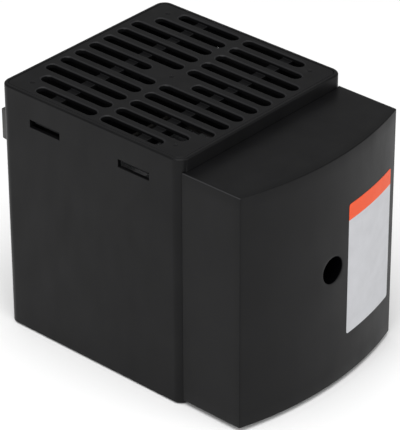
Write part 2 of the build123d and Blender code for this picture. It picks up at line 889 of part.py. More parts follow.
with BuildPart() as rotor_magnet:
    with BuildSketch(Plane.XY.offset(rotor_bottom)):
        RegularPolygon(magnet_outside, ring_sides)
        RegularPolygon(magnet_inside, ring_sides, mode=Mode.SUBTRACT)
    extrude(amount=magnet_length)

# Two sealed bearings in the tube, and the clip on the shaft above them
bearing_places = [
    tube_end + bearing_inset,
    fan_top - fan_base_thickness - bearing_width - bearing_top_room,
]


def bearing(bottom):
    with BuildPart() as ring:
        with BuildSketch(Plane.XY.offset(bottom)):
            RegularPolygon(bearing_radius, ring_sides)
            Circle(shaft_radius + running_gap, mode=Mode.SUBTRACT)
        extrude(amount=bearing_width)
    return ring.part


with BuildPart() as fan_bearing_lower:
    add(bearing(bearing_places[0]))
with BuildPart() as fan_bearing_upper:
    add(bearing(bearing_places[1]))
with BuildPart() as shaft_clip:
    clip_z = bearing_places[1] + bearing_width + seat_gap
    with BuildSketch(Plane.XY.offset(clip_z)):
        small_round(shaft_radius + shaft_clip_width)
        small_round(shaft_radius + fit_gap, Mode.SUBTRACT)
        clip_outside = shaft_radius + shaft_clip_width
        with Locations((clip_outside, 0)):
            Rectangle(2 * clip_outside, shaft_clip_opening, mode=Mode.SUBTRACT)
    extrude(amount=shaft_clip_thickness)

# Stator: laminated core with four poles, its windings and the board
core_radius = magnet_inside - stator_gap
core_bottom = rotor_bottom + (magnet_length - stator_height) / 2
shoe_inside = core_radius - shoe_thickness
core_collar = tube_outside + collar_wall
with BuildPart() as fan_stator_core:
    with BuildSketch(Plane.XY.offset(core_bottom)):
        RegularPolygon(core_radius, ring_sides)
        RegularPolygon(shoe_inside, ring_sides, mode=Mode.SUBTRACT)
        Rectangle(2 * core_radius - shoe_thickness, pole_width)
        Rectangle(pole_width, 2 * core_radius - shoe_thickness)
        small_round(core_collar)
        small_round(tube_outside + fit_gap, Mode.SUBTRACT)
        with PolarLocations(core_radius, 4, start_angle=45):
            Rectangle(3 * shoe_thickness, shoe_gap, mode=Mode.SUBTRACT)
    extrude(amount=stator_height)
with BuildPart() as fan_coils:
    coil_reach = pole_width / 2 + coil_build
    coil_near = core_collar + coil_gap
    coil_far = sqrt(shoe_inside**2 - coil_reach**2) - seat_gap
    with PolarLocations(0, 4):
        block(
            (coil_near, -coil_reach, core_bottom - coil_build),
            (coil_far, coil_reach, core_bottom + stator_height + coil_build),
        )
    chamfer(fan_coils.edges().filter_by(Axis.Z, reverse=True).group_by(Axis.Z)[0], coil_edge)
    with PolarLocations(0, 4):
        block(
            (coil_near, -pole_width / 2 - fit_gap, core_bottom - fit_gap),
            (coil_far, pole_width / 2 + fit_gap, core_bottom + stator_height + fit_gap),
            Mode.SUBTRACT,
        )
with BuildPart() as fan_board:
    board_z = fan_top - fan_base_thickness - board_thickness - seat_gap
    with BuildSketch(Plane.XY.offset(board_z)):
        RegularPolygon(board_radius, ring_sides)
        small_round(tube_outside + fit_gap, Mode.SUBTRACT)
    extrude(amount=board_thickness)
with BuildPart() as fan_screws:
    screw_low = Plane.XY.offset(fan_screw_sink)
    shank = fan_bottom + fan_flange - fan_screw_tip_drop - fan_screw_sink
    stud(fan_screw_head - fan_screw_play, screw_low, fan_holes, fan_head_recess - fan_screw_sink)
    stud(fan_screw_hole - fan_screw_play, screw_low, fan_holes, shank)
    with BuildSketch(screw_low):
        with Locations(*fan_holes):
            Rectangle(1.5 * fan_screw_head, drive_slot)
    extrude(amount=drive_depth, mode=Mode.SUBTRACT)

# Heater carrier: a floor that closes the duct round the heater block, and a box round it
with BuildPart() as heater_carrier:
    rounded_block(
        2 * (inside_x - seat_gap), 2 * (inside_y - seat_gap), inside_radius, carrier_z, carrier_floor
    )
    with BuildSketch(Plane.XY.offset(carrier_z)):
        Rectangle(2 * (box_x + carrier_wall), 2 * (box_y + carrier_wall))
    extrude(amount=carrier_top - carrier_z)
    block((-box_x, -box_y, stack_bottom), (box_x, box_y, carrier_top), Mode.SUBTRACT)
    ledge_x = fin_length / 2 - carrier_ledge
    ledge_y = stack_half - carrier_ledge
    block((-ledge_x, -ledge_y, carrier_z), (ledge_x, ledge_y, stack_bottom), Mode.SUBTRACT)
    notch = post_size + 2 * seat_gap
    with BuildSketch(Plane.XY.offset(carrier_z)):
        with Locations(*four(inside_x - notch / 2, inside_y - notch / 2)):
            Rectangle(notch, notch)
        with Locations(*four(carrier_boss_x, carrier_boss_y)):
            small_round(small_screw_radius + screw_play)
        with Locations((fan_wire_x, tube_y)):
            Rectangle(4 * fan_wire_radius, 2 * connector_width)
    extrude(amount=carrier_floor, mode=Mode.SUBTRACT)
    for y in (-tube_y, tube_y):
        block(
            (box_x - cut_past, y - connector_width, low_tab_z - tab_width / 2 - tab_room),
            (box_x + carrier_wall + cut_past, y + connector_width, carrier_top),
            Mode.SUBTRACT,
        )
with BuildPart() as carrier_screws:
    with Locations(*[(x, y, stack_bottom) for x, y in four(carrier_boss_x, carrier_boss_y)]):
        add(pan_screw(small_screw_radius, carrier_screw_length, small_head_radius, small_head))

# Fin packs: a zigzag of thin aluminium between two skins, as triangular air cells
fin_half = fin_height / 2 - fin_skin
cells = int(fin_length / fin_pitch)


def fin_pack(y_middle):
    with BuildPart() as pack:
        with BuildSketch(Plane.XY.offset(stack_bottom)):
            with Locations((0, y_middle)):
                Rectangle(fin_length, fin_height)
            for index in range(cells):
                x = (index - (cells - 1) / 2) * fin_pitch
                reach = fin_pitch / 2 - fin_thickness
                for side, shift in ((1, 0), (-1, fin_pitch / 2)):
                    if index == cells - 1 and shift:
                        continue
                    with Locations((x + shift, y_middle)):
                        with BuildLine():
                            Polyline(
                                (x + shift - reach, y_middle - side * fin_half),
                                (x + shift + reach, y_middle - side * fin_half),
                                (x + shift, y_middle + side * (fin_half - fin_pitch / 6)),
                                close=True,
                            )
                        make_face(mode=Mode.SUBTRACT)
        extrude(amount=fin_depth)
    return pack.part


with BuildPart() as fin_pack_front:
    add(fin_pack(-fin_height - tube_height))
with BuildPart() as fin_pack_middle:
    add(fin_pack(0))
with BuildPart() as fin_pack_rear:
    add(fin_pack(fin_height + tube_height))


def sleeve(y_middle, half_length, outer_y, outer_z, thickness):
    # A rectangular sleeve along X round the stones' place
    with BuildPart() as tube:
        with BuildSketch(Plane.YZ.offset(-half_length)):
            with Locations((y_middle, stack_middle)):
                Rectangle(outer_y, outer_z)
                Rectangle(outer_y - 2 * thickness, outer_z - 2 * thickness, mode=Mode.SUBTRACT)
        extrude(amount=2 * half_length)
    return tube.part


with BuildPart() as heater_tube_front:
    add(sleeve(-tube_y, tube_half, tube_height, fin_depth, tube_wall))
with BuildPart() as heater_tube_rear:
    add(sleeve(tube_y, tube_half, tube_height, fin_depth, tube_wall))
with BuildPart() as tube_insulation:
    for y in (-tube_y, tube_y):
        film_half = tube_half + film_overhang
        add(sleeve(y, film_half, sleeve_inside, fin_depth - 2 * tube_wall, film_thickness))
stone_places = [
    ((index - (stones_per_tube - 1) / 2) * (stone_length + stone_gap), y, stack_middle)
    for index in range(stones_per_tube)
    for y in (-tube_y, tube_y)
]
with BuildPart() as ptc_stones:
    with Locations(*stone_places):
        Box(stone_length, stone_thickness, stone_width)
with BuildPart() as contact_strips:
    for y in (-tube_y, tube_y):
        for side, tab_z in ((-1, high_wire_z), (1, low_tab_z)):
            face = y + side * (stone_thickness + strip_thickness) / 2
            block(
                (strip_end - tube_half, face - strip_thickness / 2, stack_middle - stone_width / 2),
                (tube_half - tab_root, face + strip_thickness / 2, stack_middle + stone_width / 2),
            )
            block(
                (tube_half - tab_root, face - strip_thickness / 2, tab_z - tab_width / 2),
                (cap_back + tab_length, face + strip_thickness / 2, tab_z + tab_width / 2),
            )

# Plates, leaf spring and end caps that hold the stack together
plate_y = stack_half + plate_thickness / 2
with BuildPart() as pressure_plates:
    for y in (-plate_y, plate_y):
        block(
            (-fin_length / 2, y - plate_thickness / 2, stack_bottom),
            (fin_length / 2, y + plate_thickness / 2, stack_bottom + fin_depth),
        )
with BuildPart() as heater_spring:
    low_y = stack_half + plate_thickness
    high_y = box_y - leaf_thickness
    start = leaf_margin - fin_length / 2
    half_wave = -start / leaf_waves
    crests = [
        (start + index * half_wave, (low_y, high_y)[index % 2]) for index in range(2 * leaf_waves + 1)
    ]
    with BuildSketch(Plane.XY.offset(stack_bottom + leaf_inset)):
        with BuildLine():
            Polyline(
                *crests,
                *[(x, y + leaf_thickness) for x, y in reversed(crests)],
                close=True,
            )
        make_face()
    extrude(amount=fin_depth - 2 * leaf_inset)


def end_cap(side):
    # A plate that both heater tubes pass into, open where the tabs leave
    with BuildPart() as cap:
        low, high = sorted((side * cap_face, side * cap_back))
        block(
            (low, -stack_half - plate_thickness, stack_bottom),
            (high, stack_half + plate_thickness, stack_bottom + fin_depth + end_cap_lip),
        )
        for y in (-tube_y, tube_y):
            reach = tube_height / 2 + fit_gap
            low, high = sorted((side * cap_face, side * (tube_half + end_cap_pocket_gap)))
            block(
                (low, y - reach, stack_bottom),
                (high, y + reach, stack_bottom + fin_depth + fit_gap),
                Mode.SUBTRACT,
            )
            for face, tab_z in ((-1, high_wire_z), (1, low_tab_z)):
                middle = y + face * (stone_thickness + strip_thickness) / 2
                low, high = sorted((side * cap_face, side * (cap_back + cut_past)))
                if side > 0:
                    block(
                        (low, middle - tab_slot_half, tab_z - tab_width / 2 - seat_gap),
                        (high, middle + tab_slot_half, tab_z + tab_width / 2 + seat_gap),
                        Mode.SUBTRACT,
                    )
    return cap.part


with BuildPart() as end_cap_left:
    add(end_cap(-1))
with BuildPart() as end_cap_right:
    add(end_cap(1))

# Push-on connectors on the four tabs
tab_spots = [
    (y + face * (stone_thickness + strip_thickness) / 2, tab_z)
    for y in (-tube_y, tube_y)
    for face, tab_z in ((-1, high_wire_z), (1, low_tab_z))
]
tab_half = strip_thickness / 2 + tab_fit
with BuildPart() as tab_connectors:
    for y, z in tab_spots:
        block(
            (connector_start, y - connector_width / 2, z - connector_height / 2),
            (connector_start + connector_length, y + connector_width / 2, z + connector_height / 2),
        )
        block(
            (connector_start - cut_past, y - tab_half, z - tab_width / 2 - tab_fit),
            (cap_back + tab_length + tab_end_gap, y + tab_half, z + tab_width / 2 + tab_fit),
            Mode.SUBTRACT,
        )

# Temperature limiter and the strap that holds it on the carrier's floor
with BuildPart() as temperature_limiter:
    block(
        (limiter_x - limiter_length / 2, limiter_y - limiter_width / 2, stack_bottom),
        (limiter_x + limiter_length / 2, limiter_y + limiter_width / 2, stack_bottom + limiter_height),
    )
    chamfer(temperature_limiter.edges().filter_by(Axis.X), limiter_edge)
with BuildPart() as limiter_clip:
    reach = limiter_width / 2 + fit_gap
    crown = stack_bottom + limiter_height + fit_gap
    with BuildSketch(Plane.YZ.offset(limiter_x - strap_width / 2)):
        with BuildLine():
            Polyline(
                (limiter_y - reach - strap_thickness, stack_bottom),
                (limiter_y - reach - strap_thickness, crown + strap_thickness),
                (limiter_y + reach + strap_thickness, crown + strap_thickness),
                (limiter_y + reach + strap_thickness, stack_bottom),
                (limiter_y + reach, stack_bottom),
                (limiter_y + reach, crown),
                (limiter_y - reach, crown),
                (limiter_y - reach, stack_bottom),
                close=True,
            )
        make_face()
    extrude(amount=strap_width)

# Supply wires: from the terminal through the front wall, one by way of the limiter
left_pole, right_pole = poles
wire_start = terminal_z + cage_height / 2 - wire_entry
limiter_ends = [limiter_x + side * limiter_length / 2 for side in (-1, 1)]
with BuildPart() as supply_wires:
    add(
        tube_along(
            [
                (*left_pole, wire_start),
                (*left_pole, low_wire_z),
                (left_pole[0], limiter_y, low_wire_z),
                (limiter_ends[0], limiter_y, low_wire_z),
            ],
            supply_bend,
            supply_wire_radius,
        )
    )
    add(
        tube_along(
            [
                (limiter_ends[1], limiter_y, low_wire_z),
                (wire_x, limiter_y, low_wire_z),
                (wire_x, tab_spots[1][0] - connector_width / 2, low_wire_z),
            ],
            supply_bend,
            supply_wire_radius,
        )
    )
    add(
        tube_along(
            [
                (*right_pole, wire_start),
                (*right_pole, high_wire_z),
                (right_pole[0], limiter_y, high_wire_z),
                (wire_x, limiter_y, high_wire_z),
                (wire_x, tab_spots[0][0] - connector_width / 2, high_wire_z),
            ],
            supply_bend,
            supply_wire_radius,
        )
    )

# Jumpers between the two heater tubes' tabs, and the fan's lead from the rear tabs
with BuildPart() as jumper_wires:
    for front, rear in ((tab_spots[0], tab_spots[2]), (tab_spots[1], tab_spots[3])):
        with BuildSketch(Plane.XZ.offset(-front[0] - connector_width / 2)):
            with Locations((connector_start + jumper_place, front[1])):
                RegularPolygon(supply_wire_radius, wire_sides)
        extrude(amount=front[0] - rear[0] + connector_width)
with BuildPart() as fan_wires:
    for y, z in tab_spots[2:]:
        add(
            tube_along(
                [
                    (fan_size / 2, y, fan_top - fan_flange / 2),
                    (fan_wire_x, y, fan_top - fan_flange / 2),
                    (fan_wire_x, y, z - connector_height / 2),
                ],
                fan_bend,
                fan_wire_radius,
            )
        )

# Rail clip: a plate with a hook bar for the rail's top edge and guides for the latch
seat_bottom = hook_tip
with BuildPart() as rail_clip:
    block(
        (-hook_bar_width / 2, half_depth, seat_bottom),
        (hook_bar_width / 2, plate_back, hook_bar_top),
    )
    block((-stem_width / 2, half_depth, stem_bottom), (stem_width / 2, plate_back, hook_bar_top))
    # Hook plate with its lower corners cut, and the bar's top and stop walls
    with BuildSketch(back_wall.offset(hook_face - half_depth)):
        with Locations((0, (hook_tip + hook_bar_top) / 2)):
            hook_shape = Rectangle(hook_bar_width, hook_bar_top - hook_tip)
        chamfer(hook_shape.vertices().group_by(Axis.Y)[0], hook_chamfer)
    extrude(amount=hook_thickness)
    for bottom in (rail_top + seat_gap, hook_bar_top - clip_wall):
        block(
            (-hook_bar_width / 2, plate_back, bottom),
            (hook_bar_width / 2, hook_face, bottom + clip_wall),
        )
    bar_end = (hook_bar_width - clip_wall) / 2
    for x in (-bar_end, -stem_width / 2, stem_width / 2, bar_end):
        block(
            (x - clip_wall / 2, plate_back, rail_top + seat_gap),
            (x + clip_wall / 2, hook_face, hook_bar_top),
        )
    # Seats for the rail's face, out at the ends of the bar
    for side in (-1, 1):
        low, high = sorted((side * (hook_bar_width / 2 - rail_seat_width), side * hook_bar_width / 2))
        block((low, plate_back, seat_bottom), (high, seat_face, rail_top + seat_gap))
    # Guides for the latch, with lips over its edges
    for side in (-1, 1):
        low, high = sorted((side * guide_inside, side * (guide_inside + guide_wall)))
        block((low, plate_back, stem_bottom), (high, seat_face, guide_top))
        low, high = sorted((side * (guide_inside - guide_lip), side * guide_inside))
        block(
            (low, seat_face - guide_lip_thickness, stem_bottom),
            (high, seat_face, rail_bottom),
        )
    # Lug for the latch's spring
    lug_half = spring_radius + spring_wire
    block(
        (-lug_half, plate_back, spring_slot_bottom + seat_gap),
        (lug_half, plate_back + seat_gap + latch_thickness, spring_slot_bottom + seat_gap + lug_height),
    )
    stud(small_screw_radius + screw_play, back_wall, clip_screws, clip_plate, Mode.SUBTRACT)

# Sliding latch: grips the rail's lower edge, with an eye in its tail to pull it down
latch_front = plate_back + seat_gap
latch_back = latch_front + latch_thickness
latch_half = guide_inside - seat_gap
nose_half = guide_inside - guide_lip - seat_gap
latch_top = rail_bottom - seat_gap
slot_half = spring_radius + spring_wire + seat_gap
spring_bottom = spring_slot_bottom + seat_gap + lug_height
spring_top = spring_bottom + spring_length
eye_bottom = latch_tail + eye_lift
with BuildPart() as rail_latch:
    block((-latch_half, latch_front, stem_bottom), (latch_half, latch_back, latch_top))
    block((-nose_half, latch_front, latch_tail), (nose_half, latch_back, stem_bottom))
    with BuildSketch(Plane.YZ.offset(-nose_half)):
        with BuildLine():
            Polyline(
                (latch_back, latch_top - latch_nose_height),
                (latch_back, latch_top),
                (hook_face, latch_top),
                (hook_face, latch_top + latch_overlap),
                (hook_face + latch_nose_land, latch_top + latch_overlap),
                (clip_back, latch_top - latch_nose_drop),
                (clip_back, latch_top - latch_nose_height),
                close=True,
            )
        make_face()
    extrude(amount=2 * nose_half)
    block(
        (-slot_half, latch_front, spring_slot_bottom),
        (slot_half, latch_back, spring_top),
        Mode.SUBTRACT,
    )
    block(
        (-eye_width / 2, latch_front, eye_bottom),
        (eye_width / 2, latch_back, eye_bottom + eye_height),
        Mode.SUBTRACT,
    )


def spring_points(radius, bottom, height, turns):
    # Points round the helix, with spring_steps of them to a turn
    steps = spring_steps * turns
    points = []
    for step in range(steps + 1):
        angle = radians(360 * step / spring_steps)
        across, away = radius * cos(angle), radius * sin(angle)
        points.append((across, (latch_front + latch_back) / 2 + away, bottom + height * step / steps))
    return points


with BuildPart() as latch_spring:
    with BuildLine() as coil:
        low_end = spring_bottom + spring_wire + spring_end_gap
        rise = spring_length - 2 * (spring_wire + spring_end_gap)
        Polyline(*spring_points(spring_radius, low_end, rise, spring_turns))
    with BuildSketch(Plane(origin=coil.line @ 0, z_dir=coil.line % 0)):
        RegularPolygon(spring_wire, spring_wire_sides)
    sweep(transition=Transition.RIGHT)

with BuildPart() as rail_clip_screws:
    with Locations(*[Plane(origin=(x, plate_back, z), z_dir=(0, 1, 0)) for x, z in clip_screws]):
        add(pan_screw(small_screw_radius, fixing_screw_length, small_head_radius, small_head))

sub_parts = {
    "housing": housing,
    "outlet_grille": outlet_grille,
    "front_cover": front_cover,
    "cover_screw": cover_screw,
    "cover_screw_washer": cover_screw_washer,
    "cover_insert": cover_insert,
    "terminal_block": terminal_block,
    "terminal_cages": terminal_cages,
    "terminal_screws": terminal_screws,
    "terminal_fixing_screws": terminal_fixing_screws,
    "cable_clamp": cable_clamp,
    "cable_clamp_screws": cable_clamp_screws,
    "wall_grommets": wall_grommets,
    "fan_frame": fan_frame,
    "fan_impeller": fan_impeller,
    "fan_shaft": fan_shaft,
    "rotor_yoke": rotor_yoke,
    "rotor_magnet": rotor_magnet,
    "fan_bearing_lower": fan_bearing_lower,
    "fan_bearing_upper": fan_bearing_upper,
    "shaft_clip": shaft_clip,
    "fan_stator_core": fan_stator_core,
    "fan_coils": fan_coils,
    "fan_board": fan_board,
    "fan_screws": fan_screws,
    "heater_carrier": heater_carrier,
    "carrier_screws": carrier_screws,
    "fin_pack_front": fin_pack_front,
    "fin_pack_middle": fin_pack_middle,
    "fin_pack_rear": fin_pack_rear,
    "heater_tube_front": heater_tube_front,
    "heater_tube_rear": heater_tube_rear,
    "tube_insulation": tube_insulation,
    "ptc_stones": ptc_stones,
    "contact_strips": contact_strips,
    "pressure_plates": pressure_plates,
    "heater_spring": heater_spring,
    "end_cap_left": end_cap_left,
    "end_cap_right": end_cap_right,
    "tab_connectors": tab_connectors,
    "temperature_limiter": temperature_limiter,
    "limiter_clip": limiter_clip,
    "supply_wires": supply_wires,
    "jumper_wires": jumper_wires,
    "fan_wires": fan_wires,
    "rail_clip": rail_clip,
    "rail_latch": rail_latch,
    "latch_spring": latch_spring,
    "rail_clip_screws": rail_clip_screws,
}
for name, piece in sub_parts.items():
    piece.part.label = name
    export_step(piece.part, f"parts/{name}.step")
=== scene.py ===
import json
import math

import bmesh
import bpy
import numpy as np
from mathutils import Matrix, Vector


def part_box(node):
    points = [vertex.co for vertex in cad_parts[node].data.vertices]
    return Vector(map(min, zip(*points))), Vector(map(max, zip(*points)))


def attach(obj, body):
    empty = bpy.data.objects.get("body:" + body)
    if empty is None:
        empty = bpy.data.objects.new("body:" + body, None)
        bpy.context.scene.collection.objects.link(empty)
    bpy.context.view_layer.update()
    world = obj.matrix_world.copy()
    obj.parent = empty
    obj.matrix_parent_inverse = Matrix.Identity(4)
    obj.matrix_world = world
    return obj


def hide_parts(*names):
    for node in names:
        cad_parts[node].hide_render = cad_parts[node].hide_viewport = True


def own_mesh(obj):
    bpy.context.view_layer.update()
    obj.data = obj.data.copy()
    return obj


# An enclosure fan heater: black tub, slotted outlet lid, bulged terminal cover and a rail clip
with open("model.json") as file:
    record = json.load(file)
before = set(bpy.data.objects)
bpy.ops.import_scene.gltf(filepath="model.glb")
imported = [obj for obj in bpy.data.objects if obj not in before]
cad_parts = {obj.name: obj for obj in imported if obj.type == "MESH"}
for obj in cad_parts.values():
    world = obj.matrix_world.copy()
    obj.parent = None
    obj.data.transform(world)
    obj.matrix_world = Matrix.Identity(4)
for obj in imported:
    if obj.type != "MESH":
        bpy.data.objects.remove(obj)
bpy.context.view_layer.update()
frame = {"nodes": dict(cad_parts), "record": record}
mm = 0.001
print("frame loaded,", len(frame["nodes"]), "nodes")


# Small helpers for node trees

def addNode(tree, kind, **settings):
    node = tree.nodes.new(kind)
    for key, value in settings.items():
        setattr(node, key, value)
    return node


def noiseField(tree, size, detail, stretch=(1, 1, 1)):
    # Smooth noise on Object coordinates whose features are about size metres across
    place = addNode(tree, "ShaderNodeTexCoord")
    turn = addNode(tree, "ShaderNodeMapping")
    turn.inputs["Scale"].default_value = stretch
    noise = addNode(tree, "ShaderNodeTexNoise")
    noise.inputs["Scale"].default_value = 1 / size
    noise.inputs["Detail"].default_value = detail
    tree.links.new(place.outputs["Object"], turn.inputs["Vector"])
    tree.links.new(turn.outputs["Vector"], noise.inputs["Vector"])
    return noise.outputs["Fac"]


def rescale(tree, value, low, high, fromLow=0.3, fromHigh=0.7):
    # Noise mostly lies between 0.3 and 0.7, so that part is spread from low to high
    node = addNode(tree, "ShaderNodeMapRange")
    tree.links.new(value, node.inputs["Value"])
    node.inputs["From Min"].default_value = fromLow
    node.inputs["From Max"].default_value = fromHigh
    node.inputs["To Min"].default_value = low
    node.inputs["To Max"].default_value = high
    return node.outputs["Result"]


def blendColours(tree, factor, first, second):
    # first where factor is 0, second where it is 1; each is a colour or a socket. A Mix node
    # has its two colours at inputs 6 and 7, and their blend at output 2
    node = addNode(tree, "ShaderNodeMix", data_type="RGBA")
    tree.links.new(factor, node.inputs["Factor"])
    for socket, colour in ((node.inputs[6], first), (node.inputs[7], second)):
        if isinstance(colour, bpy.types.NodeSocket):
            tree.links.new(colour, socket)
        else:
            socket.default_value = (*colour, 1)
    return node.outputs[2]


def raiseSurface(tree, height, depth, under=None):
    # Turns a height from 0 to 1 into bumps that are depth metres tall
    bump = addNode(tree, "ShaderNodeBump")
    bump.inputs["Distance"].default_value = depth
    tree.links.new(height, bump.inputs["Height"])
    if under is not None:
        tree.links.new(under, bump.inputs["Normal"])
    return bump.outputs["Normal"]


def startMaterial(name, metallic=0.0, specular=0.5):
    material = bpy.data.materials.new(name)
    material.use_nodes = True
    shader = material.node_tree.nodes["Principled BSDF"]
    shader.inputs["Metallic"].default_value = metallic
    shader.inputs["Specular IOR Level"].default_value = specular
    return material, material.node_tree, shader


def tinted(colour, factor):
    return tuple(min(1.0, channel * factor) for channel in colour)


# Moulded plastic: an even tint with faint clouds, a fine grain and patches of wear; where asked,
# painted highlights on rounded edges and painted shade in a bore or below a height

def objectHeight(tree):
    place = addNode(tree, "ShaderNodeTexCoord")
    parts = addNode(tree, "ShaderNodeSeparateXYZ")
    tree.links.new(place.outputs["Object"], parts.inputs["Vector"])
    return parts.outputs["Z"]


def distanceFrom(tree, height):
    # How far a point is from the line along Y at that height, as in a bore from front to back
    place = addNode(tree, "ShaderNodeTexCoord")
    centred = addNode(tree, "ShaderNodeMapping")
    centred.inputs["Location"].default_value = (0, 0, -height)
    flattened = addNode(tree, "ShaderNodeVectorMath", operation="MULTIPLY")
    flattened.inputs[1].default_value = (1, 0, 1)
    length = addNode(tree, "ShaderNodeVectorMath", operation="LENGTH")
    tree.links.new(place.outputs["Object"], centred.inputs["Vector"])
    tree.links.new(centred.outputs["Vector"], flattened.inputs[0])
    tree.links.new(flattened.outputs["Vector"], length.inputs[0])
    return length.outputs["Value"]


def paintedHighlightShare(tree, sides):
    # 1 where a face leans halfway between a side wall and the top, on the rounded edges that get a
    # painted highlight: the sideways and upward parts of the normal, both squared, multiply to a
    # quarter there, and to 0 on any flat wall. sides is 1 for X and for Y where edges towards that
    # side count
    least, full = 0.06, 0.2
    facing = addNode(tree, "ShaderNodeNewGeometry")
    squares = addNode(tree, "ShaderNodeVectorMath", operation="MULTIPLY")
    sideways = addNode(tree, "ShaderNodeVectorMath", operation="DOT_PRODUCT")
    sideways.inputs[1].default_value = (*sides, 0)
    parts = addNode(tree, "ShaderNodeSeparateXYZ")
    product = addNode(tree, "ShaderNodeMath", operation="MULTIPLY")
    tree.links.new(facing.outputs["Normal"], squares.inputs[0])
    tree.links.new(facing.outputs["Normal"], squares.inputs[1])
    tree.links.new(squares.outputs["Vector"], sideways.inputs[0])
    tree.links.new(squares.outputs["Vector"], parts.inputs["Vector"])
    tree.links.new(sideways.outputs["Value"], product.inputs[0])
    tree.links.new(parts.outputs["Z"], product.inputs[1])
    return rescale(tree, product.outputs["Value"], 0, 1, least, full)


def mouldedPlastic(name, look):
    material, tree, shader = startMaterial(name, specular=look["specular"])
    clouds = noiseField(tree, look["cloudSize"], detail=3)
    colour = blendColours(
        tree,
        rescale(tree, clouds, 0, 1),
        tinted(look["colour"], 1 - look["variation"]),
        tinted(look["colour"], 1 + look["variation"]),
    )
    # Painted highlight: a lighter colour blended onto rounded edges, where the lamps would glint
    if "rimColour" in look:
        colour = blendColours(tree, paintedHighlightShare(tree, look["rimSides"]), colour, look["rimColour"])
    # Painted shade: inside the screw well's bore the colour is darker and the specular level lower,
    # standing in for shade in the hole
    if "boreHeight" in look:
        away = distanceFrom(tree, look["boreHeight"])
        edge = look["boreRadius"], look["boreRadius"] + look["boreFade"]
        colour = blendColours(tree, rescale(tree, away, 0, 1, *edge), look["boreColour"], colour)
        sheen = rescale(tree, away, look["boreSpecular"], look["specular"], *edge)
        tree.links.new(sheen, shader.inputs["Specular IOR Level"])
    tree.links.new(colour, shader.inputs["Base Color"])
    # Painted shade: below this height the specular level falls, so the slots' depths and the ribs
    # under them look darker
    if "dullBelow" in look:
        sheen = rescale(
            tree,
            objectHeight(tree),
            look["dullSpecular"],
            look["specular"],
            look["dullBelow"] - look["dullOver"],
            look["dullBelow"],
        )
        tree.links.new(sheen, shader.inputs["Specular IOR Level"])
    scuffs = noiseField(tree, look["scuffSize"], detail=4, stretch=look["scuffStretch"])
    tree.links.new(rescale(tree, scuffs, *look["roughness"]), shader.inputs["Roughness"])
    grain = noiseField(tree, look["grainSize"], detail=1)
    ripple = noiseField(tree, look["rippleSize"], detail=1)
    normal = raiseSurface(tree, ripple, look["rippleDepth"])
    tree.links.new(raiseSurface(tree, grain, look["grainDepth"], normal), shader.inputs["Normal"])
    return material


def plasticLook(colour, **changes):
    look = {
        "colour": colour,
        "specular": 0.13,
        "roughness": (0.36, 0.48),
        "variation": 0.18,
        "cloudSize": 22 * mm,
        "scuffSize": 9 * mm,
        "scuffStretch": (1, 1, 0.35),
        "grainSize": 0.45 * mm,
        "grainDepth": 0.012 * mm,
        "rippleSize": 26 * mm,
        "rippleDepth": 0.05 * mm,
    }
    look.update(changes)
    return look


# Metals: a tint that drifts a little, and fine marks along one direction

def drawnMetal(name, look):
    material, tree, shader = startMaterial(name, metallic=1.0)
    drift = noiseField(tree, look["driftSize"], detail=2)
    tree.links.new(
        blendColours(tree, rescale(tree, drift, 0, 1), look["colour"], look["second"]),
        shader.inputs["Base Color"],
    )
    marks = noiseField(tree, look["markSize"], detail=3, stretch=look["stretch"])
    tree.links.new(rescale(tree, marks, *look["roughness"]), shader.inputs["Roughness"])
    tree.links.new(raiseSurface(tree, marks, look["markDepth"]), shader.inputs["Normal"])
    return material


def metalLook(colour, second, roughness, **changes):
    look = {
        "colour": colour,
        "second": second,
        "roughness": roughness,
        "driftSize": 6 * mm,
        "markSize": 0.5 * mm,
        "stretch": (1, 1, 1),
        "markDepth": 0.006 * mm,
    }
    look.update(changes)
    return look


# Stacked sheets or wound turns: light and dark bands across one axis, with a groove between

def bandedMaterial(name, look):
    # The wave turns 20 radians a unit along an axis, so its scale gives close to a band a pitch
    material, tree, shader = startMaterial(name, metallic=1.0)
    place = addNode(tree, "ShaderNodeTexCoord")
    bands = addNode(tree, "ShaderNodeTexWave", wave_type="BANDS", bands_direction=look["across"])
    bands.inputs["Scale"].default_value = 1 / look["pitch"] / math.tau * 2
    bands.inputs["Distortion"].default_value = look["wander"]
    bands.inputs["Detail"].default_value = 1
    tree.links.new(place.outputs["Object"], bands.inputs["Vector"])
    tree.links.new(
        blendColours(tree, bands.outputs["Fac"], look["colour"], look["second"]),
        shader.inputs["Base Color"],
    )
    clouds = noiseField(tree, look["cloudSize"], detail=2)
    tree.links.new(rescale(tree, clouds, *look["roughness"]), shader.inputs["Roughness"])
    tree.links.new(raiseSurface(tree, bands.outputs["Fac"], look["depth"]), shader.inputs["Normal"])
    return material


# Speckled matter such as ferrite, ceramic, board and film: specks between two tints

def speckledMaterial(name, look):
    material, tree, shader = startMaterial(name)
    specks = noiseField(tree, look["speckSize"], detail=4)
    tree.links.new(
        blendColours(tree, rescale(tree, specks, 0, 1), look["colour"], look["second"]),
        shader.inputs["Base Color"],
    )
    low, high = look["roughness"]
    tree.links.new(rescale(tree, specks, high, low), shader.inputs["Roughness"])
    tree.links.new(raiseSurface(tree, specks, look["depth"]), shader.inputs["Normal"])
    return material


